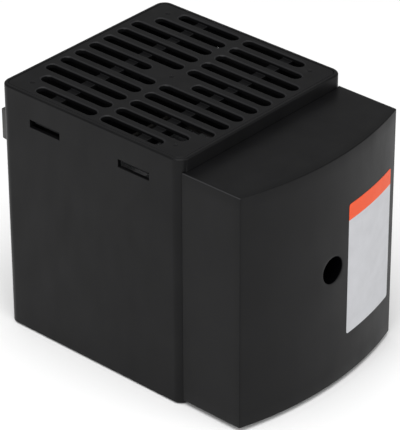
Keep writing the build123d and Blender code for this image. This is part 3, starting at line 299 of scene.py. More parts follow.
blackTint = (0.0042, 0.0042, 0.0045)
finishes = {
    "housing_plastic": mouldedPlastic("housingPlastic", plasticLook(blackTint)),
    "grille_plastic": mouldedPlastic(
        "grillePlastic",
        plasticLook(
            blackTint,
            roughness=(0.40, 0.52),
            # Painted highlight along the rounded rims of the slots
            rimColour=(0.016, 0.016, 0.017),
            rimSides=(1, 1),
            # Painted shade in the slots: less specular below the top face
            dullBelow=127.2 * mm,
            dullOver=1.6 * mm,
            dullSpecular=0.035,
        ),
    ),
    "cover_plastic": mouldedPlastic(
        "coverPlastic",
        plasticLook(
            blackTint,
            roughness=(0.34, 0.44),
            # Painted highlight along the rounded edges towards the sides
            rimColour=(0.03, 0.03, 0.031),
            rimSides=(1, 0),
            # Painted shade in the screw well's bore: darker and duller than the rest of the cover
            boreHeight=64 * mm,
            boreRadius=6.6 * mm,
            boreFade=0.3 * mm,
            boreColour=(0.0010, 0.0010, 0.0013),
            boreSpecular=0.01,
        ),
    ),
    "clip_plastic": mouldedPlastic(
        "clipPlastic", plasticLook((0.028, 0.028, 0.026), specular=0.4, roughness=(0.3, 0.4))
    ),
    "latch_plastic": mouldedPlastic(
        "latchPlastic", plasticLook((0.030, 0.030, 0.028), specular=0.4, roughness=(0.3, 0.42))
    ),
    "fan_plastic": mouldedPlastic(
        "fanPlastic", plasticLook((0.008, 0.008, 0.009), specular=0.35, roughness=(0.34, 0.46))
    ),
    "impeller_plastic": mouldedPlastic(
        "impellerPlastic", plasticLook((0.010, 0.010, 0.011), specular=0.35, roughness=(0.3, 0.42))
    ),
    "carrier_plastic": mouldedPlastic(
        "carrierPlastic",
        plasticLook((0.016, 0.015, 0.014), roughness=(0.55, 0.7), grainSize=0.25 * mm),
    ),
    "terminal_plastic": mouldedPlastic(
        "terminalPlastic",
        plasticLook((0.55, 0.55, 0.51), specular=0.4, variation=0.05, roughness=(0.32, 0.44)),
    ),
    "limiter_body": mouldedPlastic(
        "limiterPlastic",
        plasticLook((0.55, 0.54, 0.49), specular=0.5, variation=0.06, roughness=(0.2, 0.3)),
    ),
    "grommet_rubber": mouldedPlastic(
        "grommetRubber", plasticLook((0.012, 0.012, 0.012), specular=0.2, roughness=(0.6, 0.75))
    ),
    "wire_brown": mouldedPlastic(
        "brownInsulation",
        plasticLook((0.085, 0.032, 0.014), specular=0.4, variation=0.1, roughness=(0.3, 0.42)),
    ),
    "wire_blue": mouldedPlastic(
        "blueInsulation",
        plasticLook((0.02, 0.07, 0.30), specular=0.4, variation=0.1, roughness=(0.3, 0.42)),
    ),
    "zinc_steel": drawnMetal(
        "zincPlate", metalLook((0.56, 0.57, 0.58), (0.66, 0.65, 0.60), (0.24, 0.38))
    ),
    "bright_steel": drawnMetal(
        "brightSteel", metalLook((0.55, 0.55, 0.56), (0.62, 0.62, 0.62), (0.16, 0.28))
    ),
    "brass": drawnMetal("brass", metalLook((0.70, 0.50, 0.22), (0.78, 0.60, 0.30), (0.2, 0.32))),
    "tinned_brass": drawnMetal(
        "tinPlate", metalLook((0.66, 0.65, 0.61), (0.74, 0.73, 0.70), (0.28, 0.42))
    ),
    "fin_aluminium": drawnMetal(
        "finSheet",
        metalLook((0.74, 0.75, 0.76), (0.82, 0.82, 0.83), (0.22, 0.36), driftSize=15 * mm),
    ),
    "tube_aluminium": drawnMetal(
        "tubeAluminium",
        metalLook((0.68, 0.69, 0.70), (0.76, 0.76, 0.77), (0.26, 0.42), stretch=(0.05, 1, 1)),
    ),
    "lamination": bandedMaterial(
        "coreStack",
        {
            "colour": (0.20, 0.20, 0.21),
            "second": (0.42, 0.42, 0.44),
            "across": "Z",
            "pitch": 0.5 * mm,
            "wander": 0.2,
            "cloudSize": 3 * mm,
            "roughness": (0.3, 0.5),
            "depth": 0.04 * mm,
        },
    ),
    "copper": bandedMaterial(
        "copperWinding",
        {
            "colour": (0.36, 0.10, 0.03),
            "second": (0.72, 0.28, 0.10),
            "across": "DIAGONAL",
            "pitch": 0.4 * mm,
            "wander": 0.6,
            "cloudSize": 3 * mm,
            "roughness": (0.22, 0.34),
            "depth": 0.08 * mm,
        },
    ),
    "magnet": speckledMaterial(
        "bondedFerrite",
        {
            "colour": (0.035, 0.035, 0.038),
            "second": (0.065, 0.063, 0.062),
            "speckSize": 0.6 * mm,
            "roughness": (0.45, 0.65),
            "depth": 0.02 * mm,
        },
    ),
    "board": speckledMaterial(
        "solderResist",
        {
            "colour": (0.012, 0.085, 0.028),
            "second": (0.03, 0.15, 0.05),
            "speckSize": 2.2 * mm,
            "roughness": (0.2, 0.35),
            "depth": 0.02 * mm,
        },
    ),
    "film": speckledMaterial(
        "amberFilm",
        {
            "colour": (0.46, 0.17, 0.02),
            "second": (0.62, 0.27, 0.04),
            "speckSize": 5 * mm,
            "roughness": (0.12, 0.24),
            "depth": 0.03 * mm,
        },
    ),
    "ceramic": speckledMaterial(
        "silveredCeramic",
        {
            "colour": (0.40, 0.38, 0.34),
            "second": (0.60, 0.59, 0.57),
            "speckSize": 0.8 * mm,
            "roughness": (0.35, 0.6),
            "depth": 0.02 * mm,
        },
    ),
}
slotOfNode = {row["node"]: row["material_slot"] for row in frame["record"]["subparts"]}
bodyOfNode = {
    node: body for body, nodes in frame["record"]["behaviour"]["bodies"].items() for node in nodes
}
for nodeName, cadNode in frame["nodes"].items():
    cadNode.data.materials.clear()
    cadNode.data.materials.append(finishes[slotOfNode[nodeName]])
print("finishes on", len(slotOfNode), "nodes")


# Mesh helpers

def meshObject(name, points, faces, material, body):
    mesh = bpy.data.meshes.new(name)
    mesh.from_pydata(points.reshape(-1, 3).tolist(), [], faces.tolist())
    mesh.materials.append(material)
    piece = bpy.data.objects.new(name, mesh)
    bpy.context.scene.collection.objects.link(piece)
    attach(piece, body)
    return piece


def gridFaces(rows, columns, closeRows=False, closeColumns=False):
    # The quads between neighbours on a grid of points, as four index arrays side by side
    rowSteps = rows if closeRows else rows - 1
    columnSteps = columns if closeColumns else columns - 1
    row, column = np.meshgrid(np.arange(rowSteps), np.arange(columnSteps), indexing="ij")
    nextRow, nextColumn = (row + 1) % rows, (column + 1) % columns
    corners = [(row, column), (nextRow, column), (nextRow, nextColumn), (row, nextColumn)]
    return np.stack([r * columns + c for r, c in corners], axis=-1).reshape(-1, 4)


def closedGrid(points, closeRows=False):
    # A grid of points with its faces, closed round its columns
    return points, gridFaces(*points.shape[:2], closeRows=closeRows, closeColumns=True)


def weldAndFace(piece, gap=0.002 * mm):
    # Joins points that coincide and turns every face outwards
    work = bmesh.new()
    work.from_mesh(piece.data)
    bmesh.ops.remove_doubles(work, verts=work.verts, dist=gap)
    bmesh.ops.recalc_face_normals(work, faces=work.faces)
    work.to_mesh(piece.data)
    work.free()


sharpAngle = 35  # degrees between two faces, from which their edge stays sharp


def smoothWithin(mesh, degrees):
    mesh.shade_smooth()
    mesh.set_sharp_from_angle(angle=math.radians(degrees))


def camel(words):
    # wall_grommets becomes wallGrommets
    first, *rest = words.split("_")
    return first + "".join(word.title() for word in rest)


def replaceNode(nodeName, grids):
    # Several grids of points with their faces, as one welded piece that stands for a CAD node
    starts = np.cumsum([0] + [points.reshape(-1, 3).shape[0] for points, _ in grids])
    points = np.concatenate([points.reshape(-1, 3) for points, _ in grids])
    faces = np.concatenate(
        [quads.reshape(-1, 4) + start for (_, quads), start in zip(grids, starts)]
    )
    slotName = slotOfNode[nodeName]
    piece = meshObject(
        camel(nodeName), points, faces, finishes[slotName], bodyOfNode[nodeName]
    )
    weldAndFace(piece)
    smoothWithin(piece.data, sharpAngle)
    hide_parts(nodeName)
    return piece


copyRules = {
    "weld": 0.001 * mm,
    "flat": 0.4,  # degrees between faces that are joined as one
    "crossing": 0.6,  # sine of the angle from which a neighbouring edge counts as crossing
    "room": 0.49,  # share of a crossing edge that one rounding may take
}


def shareRounding(work, look):
    # Full rounding on a sharp edge, less where a short edge crosses its end, which mostly keeps
    # the roundings on the two sides of a narrow wall apart
    shares = work.edges.layers.float.new("bevel_weight_edge")
    for edge in work.edges:
        if edge.calc_face_angle(0) < math.radians(look["smooth"]):
            continue
        along = (edge.verts[1].co - edge.verts[0].co).normalized()
        room = look["round"]
        for loop in edge.link_loops:
            for other in (loop.link_loop_prev.edge, loop.link_loop_next.edge):
                across = (other.verts[1].co - other.verts[0].co).cross(along).length
                if across > copyRules["crossing"] * other.calc_length():
                    room = min(room, copyRules["room"] * across)
        edge[shares] = room / look["round"]


def finishedCopy(nodeName, look):
    # A merged copy of a CAD node with its flat areas joined and its edges rounded
    mesh = frame["nodes"][nodeName].data.copy()
    work = bmesh.new()
    work.from_mesh(mesh)
    bmesh.ops.remove_doubles(work, verts=work.verts, dist=copyRules["weld"])
    bmesh.ops.dissolve_limit(
        work, angle_limit=math.radians(copyRules["flat"]), verts=work.verts, edges=work.edges
    )
    if look["round"]:
        shareRounding(work, look)
    work.to_mesh(mesh)
    work.free()
    piece = bpy.data.objects.new(look["name"], mesh)
    bpy.context.scene.collection.objects.link(piece)
    smoothWithin(mesh, look["smooth"])
    if look["round"]:
        rounding = piece.modifiers.new("softEdges", "BEVEL")
        rounding.width = look["round"]
        rounding.segments = look["steps"]
        rounding.limit_method = "WEIGHT"
        rounding.use_clamp_overlap = False
        rounding.harden_normals = True
    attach(piece, bodyOfNode[nodeName])
    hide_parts(nodeName)


copyLooks = {
    "housing": {"name": "housingTub", "round": 0.18 * mm},
    "outlet_grille": {"name": "outletLid", "round": 0.28 * mm, "steps": 3},
    "rail_clip": {"name": "railClip", "round": 0.15 * mm},
    "rail_latch": {"name": "railLatch", "round": 0.15 * mm},
    "fan_frame": {"name": "fanFrame", "round": 0.12 * mm},
    "fan_impeller": {"name": "fanImpeller", "round": 0.06 * mm},
    "heater_carrier": {"name": "heaterCarrier", "round": 0.2 * mm},
    "terminal_block": {"name": "terminalBlock", "round": 0.25 * mm},
    "cable_clamp": {"name": "cableClamp", "round": 0.3 * mm},
    "end_cap_left": {"name": "endCapLeft", "round": 0.09 * mm},
    "end_cap_right": {"name": "endCapRight", "round": 0.09 * mm},
    "temperature_limiter": {"name": "temperatureLimiter", "round": 0.2 * mm},
    "limiter_clip": {"name": "limiterClip", "round": 0.1 * mm},
    "tab_connectors": {"name": "tabConnectors", "round": 0.2 * mm},
    "heater_tube_front": {"name": "heaterTubeFront", "round": 0.15 * mm},
    "heater_tube_rear": {"name": "heaterTubeRear", "round": 0.15 * mm},
    "supply_wires": {"name": "supplyWires", "round": 0, "smooth": 60},
    "jumper_wires": {"name": "jumperWires", "round": 0, "smooth": 60},
    "fan_wires": {"name": "fanWires", "round": 0, "smooth": 60},
}
for nodeName, changes in copyLooks.items():
    look = {"smooth": sharpAngle, "steps": 2}
    look.update(changes)
    finishedCopy(nodeName, look)
print("rounded copies of", len(copyLooks), "mouldings")


# Terminal cover: two skins of a rounded shell with a shallow arc across the front

coverLow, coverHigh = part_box("front_cover")
coverLook = {
    "wall": 2.0 * mm,
    "edge": 0.6 * mm,
    "insideEdge": 0.3 * mm,
    "sag": 8.6 * mm,
    "backCentre": 50.0 * mm,  # the tub's corner, which the open back follows
    "backRadius": 5.8 * mm,
    "sideSteps": 10,
    "cornerSteps": 4,
    "endColumns": 4,  # from the core's end to the tub's corner
    "arcSteps": 14,
    "bandRows": 8,  # above the patch, and below it
    "rimRows": 5,
    "patch": 12.0 * mm,  # half of the square of finer mesh round the screw well
    "cells": 12,
    "fanRings": 5,  # from the patch to the well's lip
    "lipRings": 4,
    "innerRings": 3,
    "notchSide": 2,  # cells up each straight side of the cable notch
    "wellZ": 64.0 * mm,
    "wellRadius": 6.6 * mm,
    "wellEdge": 0.5 * mm,
    "wellFloor": -64.8 * mm,
    "wellEnd": -62.3 * mm,
    "tubeRadius": 8.6 * mm,
    "screwHole": 2.3 * mm,
    "notch": 5.0 * mm,
    "notchCentre": -61.0 * mm,
    "ribWidth": 1.6 * mm,
    "ribBack": -87.8 * mm,
    "ribFronts": {-26.85 * mm: -93.6 * mm, 0: -95.8 * mm, 26.85 * mm: -93.6 * mm},
}
arcRadius = (coverHigh.x**2 + coverLook["sag"] ** 2) / (2 * coverLook["sag"])
arcCentre = coverLow.y + arcRadius


def coverFace(x, inset=0.0):
    # y of the front at x: a circle about (0, arcCentre), inset from its outside
    return arcCentre - np.sqrt((arcRadius - inset) ** 2 - x**2)


def coverBack(x, look):
    # y of the open edge: straight, then round the tub's corner
    beyond = np.clip(np.abs(x) - look["backCentre"], 0, None)
    return -look["backCentre"] - np.sqrt(look["backRadius"] ** 2 - beyond**2)


def notchedBack(x, core, look):
    # The open edge with the cable notch: down one side, round half a circle, up the other
    step = (x + look["patch"]) / (2 * look["patch"]) * look["cells"]
    straight = look["notchSide"]
    turn = np.clip((step - straight) / (look["cells"] - 2 * straight), 0, 1) * math.pi
    reach = np.minimum(step, look["cells"] - step).clip(0, straight) / straight
    edge = coverBack(0.0, look)
    y = edge + (look["notchCentre"] - edge) * reach - look["notch"] * np.sin(turn)
    inside = np.abs(x) <= look["patch"] + 0.001 * mm
    beyond = (np.abs(x) - look["patch"]) * (core - look["notch"]) / (core - look["patch"])
    sideX = np.sign(x) * (look["notch"] + beyond)
    return (
        np.where(inside, -look["notch"] * np.cos(turn), sideX),
        np.where(inside, y, coverBack(sideX, look)),
    )


def coverSkin(look, inset, edge):
    # A flat core patch pushed out by edge all round, so that every rim is a quarter round
    core = coverHigh.x - inset - edge
    top, bottom = coverHigh.z - inset, coverLow.z + inset
    outer = np.linspace(-look["backCentre"], -look["patch"], look["arcSteps"])
    x = np.concatenate(
        [
            np.linspace(-core, -look["backCentre"], look["endColumns"])[:-1],
            outer,
            np.linspace(-look["patch"], look["patch"], look["cells"] + 1)[1:-1],
            -outer[::-1],
            np.linspace(look["backCentre"], core, look["endColumns"])[1:],
        ]
    )
    front = coverFace(x, inset + edge)
    share = np.linspace(0, 1, look["sideSteps"])
    sideY = coverBack(core, look) + (front[0] - coverBack(core, look)) * share
    arcAngle = np.arctan2(front - arcCentre, x)
    arcAngle = np.where(arcAngle > 0, arcAngle, arcAngle + math.tau)
    turn = np.linspace(math.pi, arcAngle[0], look["cornerSteps"] + 2)[1:-1]
    angle = np.concatenate(
        [
            np.full(look["sideSteps"], math.pi),
            turn,
            arcAngle,
            3 * math.pi - turn[::-1],
            np.full(look["sideSteps"], math.tau),
        ]
    )
    corner = np.full(look["cornerSteps"], front[0])
    side = np.full(look["sideSteps"] + look["cornerSteps"], core)
    coreX = np.concatenate([-side, x, side])
    coreY = np.concatenate([sideY, corner, front, corner, sideY[::-1]])
    rim = np.radians(np.linspace(90, 0, look["rimRows"]))[:-1]
    above, below = look["wellZ"] + look["patch"], look["wellZ"] - look["patch"]
    levels = np.concatenate(
        [
            np.linspace(top - edge, above, look["bandRows"]),
            np.linspace(above, below, look["cells"] + 1)[1:-1],
            np.linspace(below, bottom + edge, look["bandRows"]),
        ]
    )
    rise, reach = edge * np.sin(rim), edge * np.cos(rim)
    z = np.concatenate([top - edge + rise, levels, bottom + edge - rise[::-1]])
    out = np.concatenate([reach, np.full(len(levels), edge), reach[::-1]])
    wallX = coreX[:, None] + np.cos(angle)[:, None] * out
    wallY = coreY[:, None] + np.sin(angle)[:, None] * out
    wallY[[0, -1]] = coverBack(wallX[[0, -1]], look)
    wallZ = np.broadcast_to(z, wallX.shape)
    wall = np.stack([wallX, wallY, wallZ], axis=-1)
    plates = []
    for backX, backY, level in (
        (x, coverBack(x, look), top),
        (*notchedBack(x, core, look), bottom),
    ):
        plateX = backX[:, None] + (x - backX)[:, None] * share
        plateY = backY[:, None] + (front - backY)[:, None] * share
        plates.append(np.stack([plateX, plateY, np.full_like(plateX, level)], axis=-1))
    firstX = (
        look["sideSteps"] + look["cornerSteps"] + look["endColumns"] - 1 + look["arcSteps"] - 1
    )
    firstZ = look["rimRows"] - 1 + look["bandRows"] - 1
    return wall, plates, (firstX, firstZ)


def ringFrom(square, radius, share, look, inset):
    # A ring part way from a circle round the well to the square of mesh about it
    away = np.stack([square[:, 0], square[:, 2] - look["wellZ"]], axis=-1)
    around = away / np.linalg.norm(away, axis=1, keepdims=True) * radius
    flat = around + (away - around) * share
    return np.stack([flat[:, 0], coverFace(flat[:, 0], inset), flat[:, 1] + look["wellZ"]], axis=-1)


def wellRings(look, outerSquare, innerSquare):
    # From the front, over a rounded lip, down the bore, and back along the tube outside it
    radius, lip = look["wellRadius"], look["wellEdge"]
    rings = [
        ringFrom(outerSquare, radius + lip, share, look, 0.0)
        for share in np.linspace(1, 0, look["fanRings"])
    ]
    for turn in np.radians(np.linspace(0, 90, look["lipRings"] + 1))[1:]:
        ring = ringFrom(outerSquare, radius + lip - lip * math.sin(turn), 0, look, 0.0)
        ring[:, 1] += lip * (1 - math.cos(turn))
        rings.append(ring)
    for size, y in (
        (radius, look["wellFloor"]),
        (look["screwHole"], look["wellFloor"]),
        (look["screwHole"], look["wellEnd"]),
        (look["tubeRadius"], look["wellEnd"]),
    ):
        ring = ringFrom(outerSquare, size, 0, look, 0.0)
        ring[:, 1] = y
        rings.append(ring)
    rings += [
        ringFrom(innerSquare, look["tubeRadius"], share, look, look["wall"])
        for share in np.linspace(0, 1, look["innerRings"])
    ]
    return np.stack(rings)


def squareLoop(wall, start, cells):
    # The grid's own points round the square, once about the well
    u, v = start
    return np.concatenate(
        [
            wall[u : u + cells, v],
            wall[u + cells, v : v + cells],
            wall[u + cells : u : -1, v + cells],
            wall[u, v + cells : v : -1],
        ]
    )


def backLoop(wall, plates):
    # Down the left edge, along the bottom, up the right edge and back along the top
    top, bottom = plates
    return np.concatenate([wall[0], bottom[:, 0], wall[-1, ::-1], top[::-1, 0]])


def boxGrid(low, high):
    # A closed box with its faces: its four sides carried up, drawn together at both ends
    (x0, y0, z0), (x1, y1, z1) = low, high
    corners = np.array([(x0, y0), (x1, y0), (x1, y1), (x0, y1)])
    middle = corners.mean(axis=0)
    rows = [
        (middle + (corners - middle) * size, z) for size, z in ((0, z0), (1, z0), (1, z1), (0, z1))
    ]
    return closedGrid(np.stack([np.column_stack([flat, np.full(4, z)]) for flat, z in rows]))


def buildCover(look):
    outer = coverSkin(look, 0.0, look["edge"])
    inner = coverSkin(look, look["wall"], look["insideEdge"])
    grids = []
    squares = []
    for wall, plates, start in (outer, inner):
        u, v = start
        faces = gridFaces(*wall.shape[:2]).reshape(wall.shape[0] - 1, wall.shape[1] - 1, 4)
        kept = np.ones(faces.shape[:2], dtype=bool)
        kept[u : u + look["cells"], v : v + look["cells"]] = False
        grids.append((wall, faces[kept]))
        grids += [(plate, gridFaces(*plate.shape[:2])) for plate in plates]
        squares.append(squareLoop(wall, start, look["cells"]))
    grids.append(closedGrid(wellRings(look, *squares)))
    grids.append(closedGrid(np.stack([backLoop(*outer[:2]), backLoop(*inner[:2])])))
    tube = look["wellRadius"] + look["wall"] / 2
    low, high = coverLow.z + look["wall"] / 2, coverHigh.z - look["wall"] / 2
    half = look["ribWidth"] / 2
    for x, front in look["ribFronts"].items():
        spans = [(low, high)] if x else [(low, look["wellZ"] - tube), (look["wellZ"] + tube, high)]
        for bottom, top in spans:
            grids.append(boxGrid((x - half, front, bottom), (x + half, look["ribBack"], top)))
    replaceNode("front_cover", grids)


buildCover(coverLook)
print("cover shell")


# Screws: a domed head with a slot, and a threaded shank

screwLook = {
    "slot": 0.8 * mm,
    "slotFloor": 0.45,  # share of the head's height
    "dome": 0.35,  # share of it by which the rim lies lower
    "domePower": 1.5,
    "columns": 10,
    "rows": 9,
    "pitch": 0.6 * mm,
    "thread": 0.1,  # share of the shank's radius
    "tip": 1.02,  # where the point would end, as a share of the length
    "rowsPerTurn": 4,
    "fewestRows": 6,
    "sides": 20,
}


def screwHead(radius, height, look):
    # Columns across the slot; in each one, rows go over the head and back under it
    half = look["slot"] / 2
    edge = np.sin(np.linspace(0, math.pi / 2, look["columns"]))
    right = half + (radius - half) * edge
    x = np.concatenate([-right[::-1], [-half, half], right])
    lowered = np.zeros(len(x), dtype=bool)
    lowered[look["columns"] : look["columns"] + 2] = True
    chord = np.sqrt(np.clip(radius**2 - x**2, 0, None))
    over = np.sin(np.linspace(-math.pi / 2, math.pi / 2, look["rows"]))
    y = chord[:, None] * over
    away = (x[:, None] ** 2 + y**2) / radius**2
    z = height * (1 - look["dome"] * away ** look["domePower"])
    z = np.where(lowered[:, None], height * look["slotFloor"], z)
    under = np.stack([-chord, np.zeros_like(chord), chord], axis=-1)
    y = np.concatenate([y, under[:, ::-1]], axis=1)
    z = np.concatenate([z, np.zeros_like(under)], axis=1)
    return np.stack([np.broadcast_to(x[:, None], y.shape), y, z], axis=-1)


def screwShank(radius, length, look):
    # A lathe profile: the radius dips once a pitch, and draws in at the point
    rows = max(look["fewestRows"], int(length / look["pitch"]) * look["rowsPerTurn"])
    along = np.linspace(0, 1, rows)
    ridge = np.abs((along * length / look["pitch"]) % 1 * 2 - 1)
    point = np.clip((look["tip"] - along) * length / radius, 0, 1)
    size = radius * (1 - look["thread"] * ridge) * point
    size[0], size[-1] = 0, 0
    return lathe(np.stack([size, -along * length], axis=-1), look["sides"])


def lathe(profile, sides):
    # Each (radius, height) of the profile turned once round the Z axis
    angle = np.arange(sides) * math.tau / sides
    ring = np.stack([np.cos(angle), np.sin(angle)], axis=-1)
    flat = profile[:, None, :1] * ring[None]
    height = np.broadcast_to(profile[:, None, 1:], (*flat.shape[:2], 1))
    return np.concatenate([flat, height], axis=-1)


def standing(points, place, towards):
    # Turns a shape that stands up along Z to lie along another way, then moves it
    turn = Vector((0, 0, 1)).rotation_difference(Vector(towards)).to_matrix()
    return points @ np.array(turn).T + np.array(place)


smallHead = {"head": 2.8 * mm, "height": 1.8 * mm, "shank": 1.45 * mm}
screws = {
    "terminal_screws": {**smallHead, "towards": (0, -1, 0), "head": 2.5 * mm},
    "terminal_fixing_screws": {**smallHead, "towards": (0, -1, 0)},
    "cable_clamp_screws": {**smallHead, "towards": (0, -1, 0)},
    "carrier_screws": {**smallHead, "towards": (0, 0, 1)},
    "rail_clip_screws": {**smallHead, "towards": (0, 1, 0), "lowerInset": 14.2 * mm},
    "fan_screws": {
        "towards": (0, 0, -1),
        "head": 3.8 * mm,
        "height": 1.6 * mm,
        "shank": 1.85 * mm,
    },
    "cover_screw": {
        "towards": (0, -1, 0),
        "head": 3.8 * mm,
        "height": 2.8 * mm,
        "shank": 1.85 * mm,
    },
}


def drawnIn(low, high, radius, least=0.01 * mm):
    # The two ends of a span less a radius at each, or their one middle where they meet
    first, last = low + radius, high - radius
    return [first, last] if last - first > least else [(first + last) / 2]


def screwPlaces(nodeName, look):
    # One screw for each corner of the node's box across the screws, and the length under the head
    low, high = (np.array(corner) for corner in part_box(nodeName))
    towards = np.array(look["towards"])
    axis = int(np.argmax(np.abs(towards)))
    top, tip = (high[axis], low[axis]) if towards[axis] > 0 else (low[axis], high[axis])
    seat = top - towards[axis] * look["height"]
    first, second = [side for side in range(3) if side != axis]
    places = []
    for across in drawnIn(low[first], high[first], look["head"]):
        for row, upward in enumerate(drawnIn(low[second], high[second], look["head"])):
            inset = look.get("lowerInset", 0) if row == 0 else 0
            place = np.zeros(3)
            place[axis] = seat
            place[first] = across - np.sign(across) * inset
            place[second] = upward
            places.append(place)
    return places, abs(seat - tip)


def buildScrews(nodeName, look):
    places, length = screwPlaces(nodeName, look)
    shapes = [
        screwHead(look["head"], look["height"], screwLook),
        screwShank(look["shank"], length, screwLook),
    ]
    grids = [
        closedGrid(standing(shape, place, look["towards"])) for place in places for shape in shapes
    ]
    replaceNode(nodeName, grids)


for nodeName, look in screws.items():
    buildScrews(nodeName, look)
print("screws")


# Small turned pieces: grommets, washer and the knurled insert

turned = {
    "wall_grommets": {
        "profile": [
            (1.22, 0.2),
            (1.5, 0),
            (2.9, 0),
            (3.2, 0.25),
            (3.2, 0.75),
            (2.9, 1),
            (2.18, 1),
            (2.18, 3),
            (2.9, 3),
            (3.2, 3.25),
            (3.2, 3.75),
            (2.9, 4),
            (1.5, 4),
            (1.22, 3.8),
        ],
        "knurl": 0,
    },
    "cover_screw_washer": {
        "profile": [(2.0, 0), (4.3, 0), (4.4, 0.1), (4.4, 0.7), (4.3, 0.8), (2.0, 0.8)],
        "knurl": 0,
    },
    "cover_insert": {
        "profile": [
            (2.0, 0.3),
            (2.3, 0),
            (2.65, 0),
            (2.8, 0.2),
            (2.8, 3.0),
            (2.5, 3.2),
            (2.5, 3.8),
            (2.8, 4.0),
            (2.8, 6.8),
            (2.65, 7),
            (2.0, 7),
        ],
        "knurl": 0.08,
    },
}


def buildTurned(nodeName, look, sides=96, ridges=24):
    # Each (radius, height) of a closed profile in mm, turned round a line along Y; a knurl of
    # that depth makes the widest parts rise and fall once for each ridge
    profile = np.array(look["profile"])
    reach = profile[:, 0].max()
    shape = lathe(profile, sides)
    angle = np.arange(sides) * math.tau / sides
    knurled = (profile[:, 0] == reach)[:, None] * look["knurl"] * (np.cos(ridges * angle) - 1) / 2
    shape[..., :2] += knurled[..., None] * np.stack([np.cos(angle), np.sin(angle)], axis=-1)
    shape *= mm
    low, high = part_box(nodeName)
    grids = []
    for x, z in zip(drawnIn(low.x, high.x, reach * mm), drawnIn(low.z, high.z, reach * mm)):
        grids.append(closedGrid(standing(shape, (x, low.y, z), (0, 1, 0)), closeRows=True))
    replaceNode(nodeName, grids)


for nodeName, look in turned.items():
    buildTurned(nodeName, look)
print("turned pieces")


# The latch's spring: a round wire along a helix

def tubeAlong(route, radius, sides):
    # Circles across the line, their sides set square to it by a fixed slanting direction
    tangent = np.gradient(route, axis=0)
    tangent /= np.linalg.norm(tangent, axis=1, keepdims=True)
    slant = np.array([0.61, 0.55, 0.57])
    across = np.cross(tangent, slant)
    across /= np.linalg.norm(across, axis=1, keepdims=True)
    upright = np.cross(across, tangent)
    angle = np.arange(sides) * math.tau / sides
    ring = across[:, None] * np.cos(angle)[:, None] + upright[:, None] * np.sin(angle)[:, None]
    size = np.full(len(route) + 2, radius)
    size[[0, -1]] = 0
    line = np.concatenate([route[:1], route, route[-1:]])
    ring = np.concatenate([ring[:1], ring, ring[-1:]])
    return line[:, None] + ring * size[:, None, None]


springLook = {
    "wire": 0.39 * mm,
    "sides": 10,
    "rowsPerTurn": 24,
    "turns": 5,
    "closed": 0.6,  # 0 for even turns, 1 for end turns that lie flat
    "keep": 0.7,  # share of its length that is left when the latch is pulled right down
}


def buildSpring(look):
    # A helix whose end turns lie closer: height follows the angle less a slow sine of it
    low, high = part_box("latch_spring")
    middle = (low + high) / 2
    radius = (high.x - low.x) / 2 - look["wire"]
    share = np.linspace(0, 1, look["turns"] * look["rowsPerTurn"] + 1)
    angle = share * look["turns"] * math.tau
    height = share - look["closed"] * np.sin(share * math.tau) / math.tau
    bottom, top = low.z + look["wire"], high.z - look["wire"]
    route = np.stack(
        [
            middle.x + radius * np.cos(angle),
            middle.y + radius * np.sin(angle),
            bottom + (top - bottom) * height,
        ],
        axis=-1,
    )
    grids = [closedGrid(tubeAlong(route, look["wire"], look["sides"]))]
    piece = replaceNode("latch_spring", grids)
    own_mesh(piece)


buildSpring(springLook)
print("latch spring")


# Fin packs: one folded strip between two skins, its folds rounded by the wave

finLook = {"pitch": 3.3 * mm, "sheet": 0.3 * mm, "skin": 0.4 * mm, "perFold": 16, "sharp": 2.2}


def buildFins(nodeName, look):
    # The fold's height is tanh of a sine, so its flanks are steep and its crests flat
    low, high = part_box(nodeName)
    folds = round((high.x - low.x) / look["pitch"])
    share = np.linspace(0, 1, folds * look["perFold"] + 1)
    x = low.x + look["skin"] + (high.x - low.x - 2 * look["skin"]) * share
    middle = (low.y + high.y) / 2
    reach = (high.y - low.y) / 2 - look["skin"] - look["sheet"] / 2
    wave = np.sin(share * folds * math.tau)
    y = middle + reach * np.tanh(look["sharp"] * wave) / math.tanh(look["sharp"])
    along = np.stack([np.gradient(x), np.gradient(y)], axis=-1)
    along /= np.linalg.norm(along, axis=1, keepdims=True)
    across = np.stack([-along[:, 1], along[:, 0]], axis=-1) * look["sheet"] / 2
    line = np.stack([x, y], axis=-1)
    near, far = line + across, line - across
    corners = [(near, low.z), (near, high.z), (far, high.z), (far, low.z)]
    sides = [np.column_stack([flat, np.full(len(flat), z)]) for flat, z in corners]
    strip = np.stack(sides, axis=1)
    ends = strip[[0, -1]].mean(axis=1, keepdims=True).repeat(len(sides), axis=1)
    grids = [closedGrid(np.concatenate([ends[:1], strip, ends[1:]]))]
    for y0, y1 in ((low.y, low.y + look["skin"]), (high.y - look["skin"], high.y)):
        grids.append(boxGrid((low.x, y0, low.z), (high.x, y1, high.z)))
    replaceNode(nodeName, grids)


for nodeName in ("fin_pack_front", "fin_pack_middle", "fin_pack_rear"):
    buildFins(nodeName, finLook)
print("fin packs")


# The two-tone label on the cover: plain bands, a little proud of the curved front

labelLook = {
    "left": 11.1 * mm,
    "right": 48.9 * mm,
    "bottom": 24.4 * mm,
    "top": 93.1 * mm,
    "header": 8.3 * mm,
    "corner": 1.2 * mm,
    "thickness": 0.1 * mm,
    "sunk": 0.02 * mm,  # how far its back lies inside the cover
    "columns": 28,
    "rows": 60,
    "smooth": 40,
    "fieldColours": ((0.465, 0.469, 0.488), (0.505, 0.509, 0.53)),
    "headerColours": ((0.73, 0.075, 0.014), (0.77, 0.085, 0.018)),
    "specular": 0.2,
    "roughness": (0.38, 0.5),
    "cloudSize": 7 * mm,
    "grainSize": 0.3 * mm,
    "grainDepth": 0.006 * mm,
}


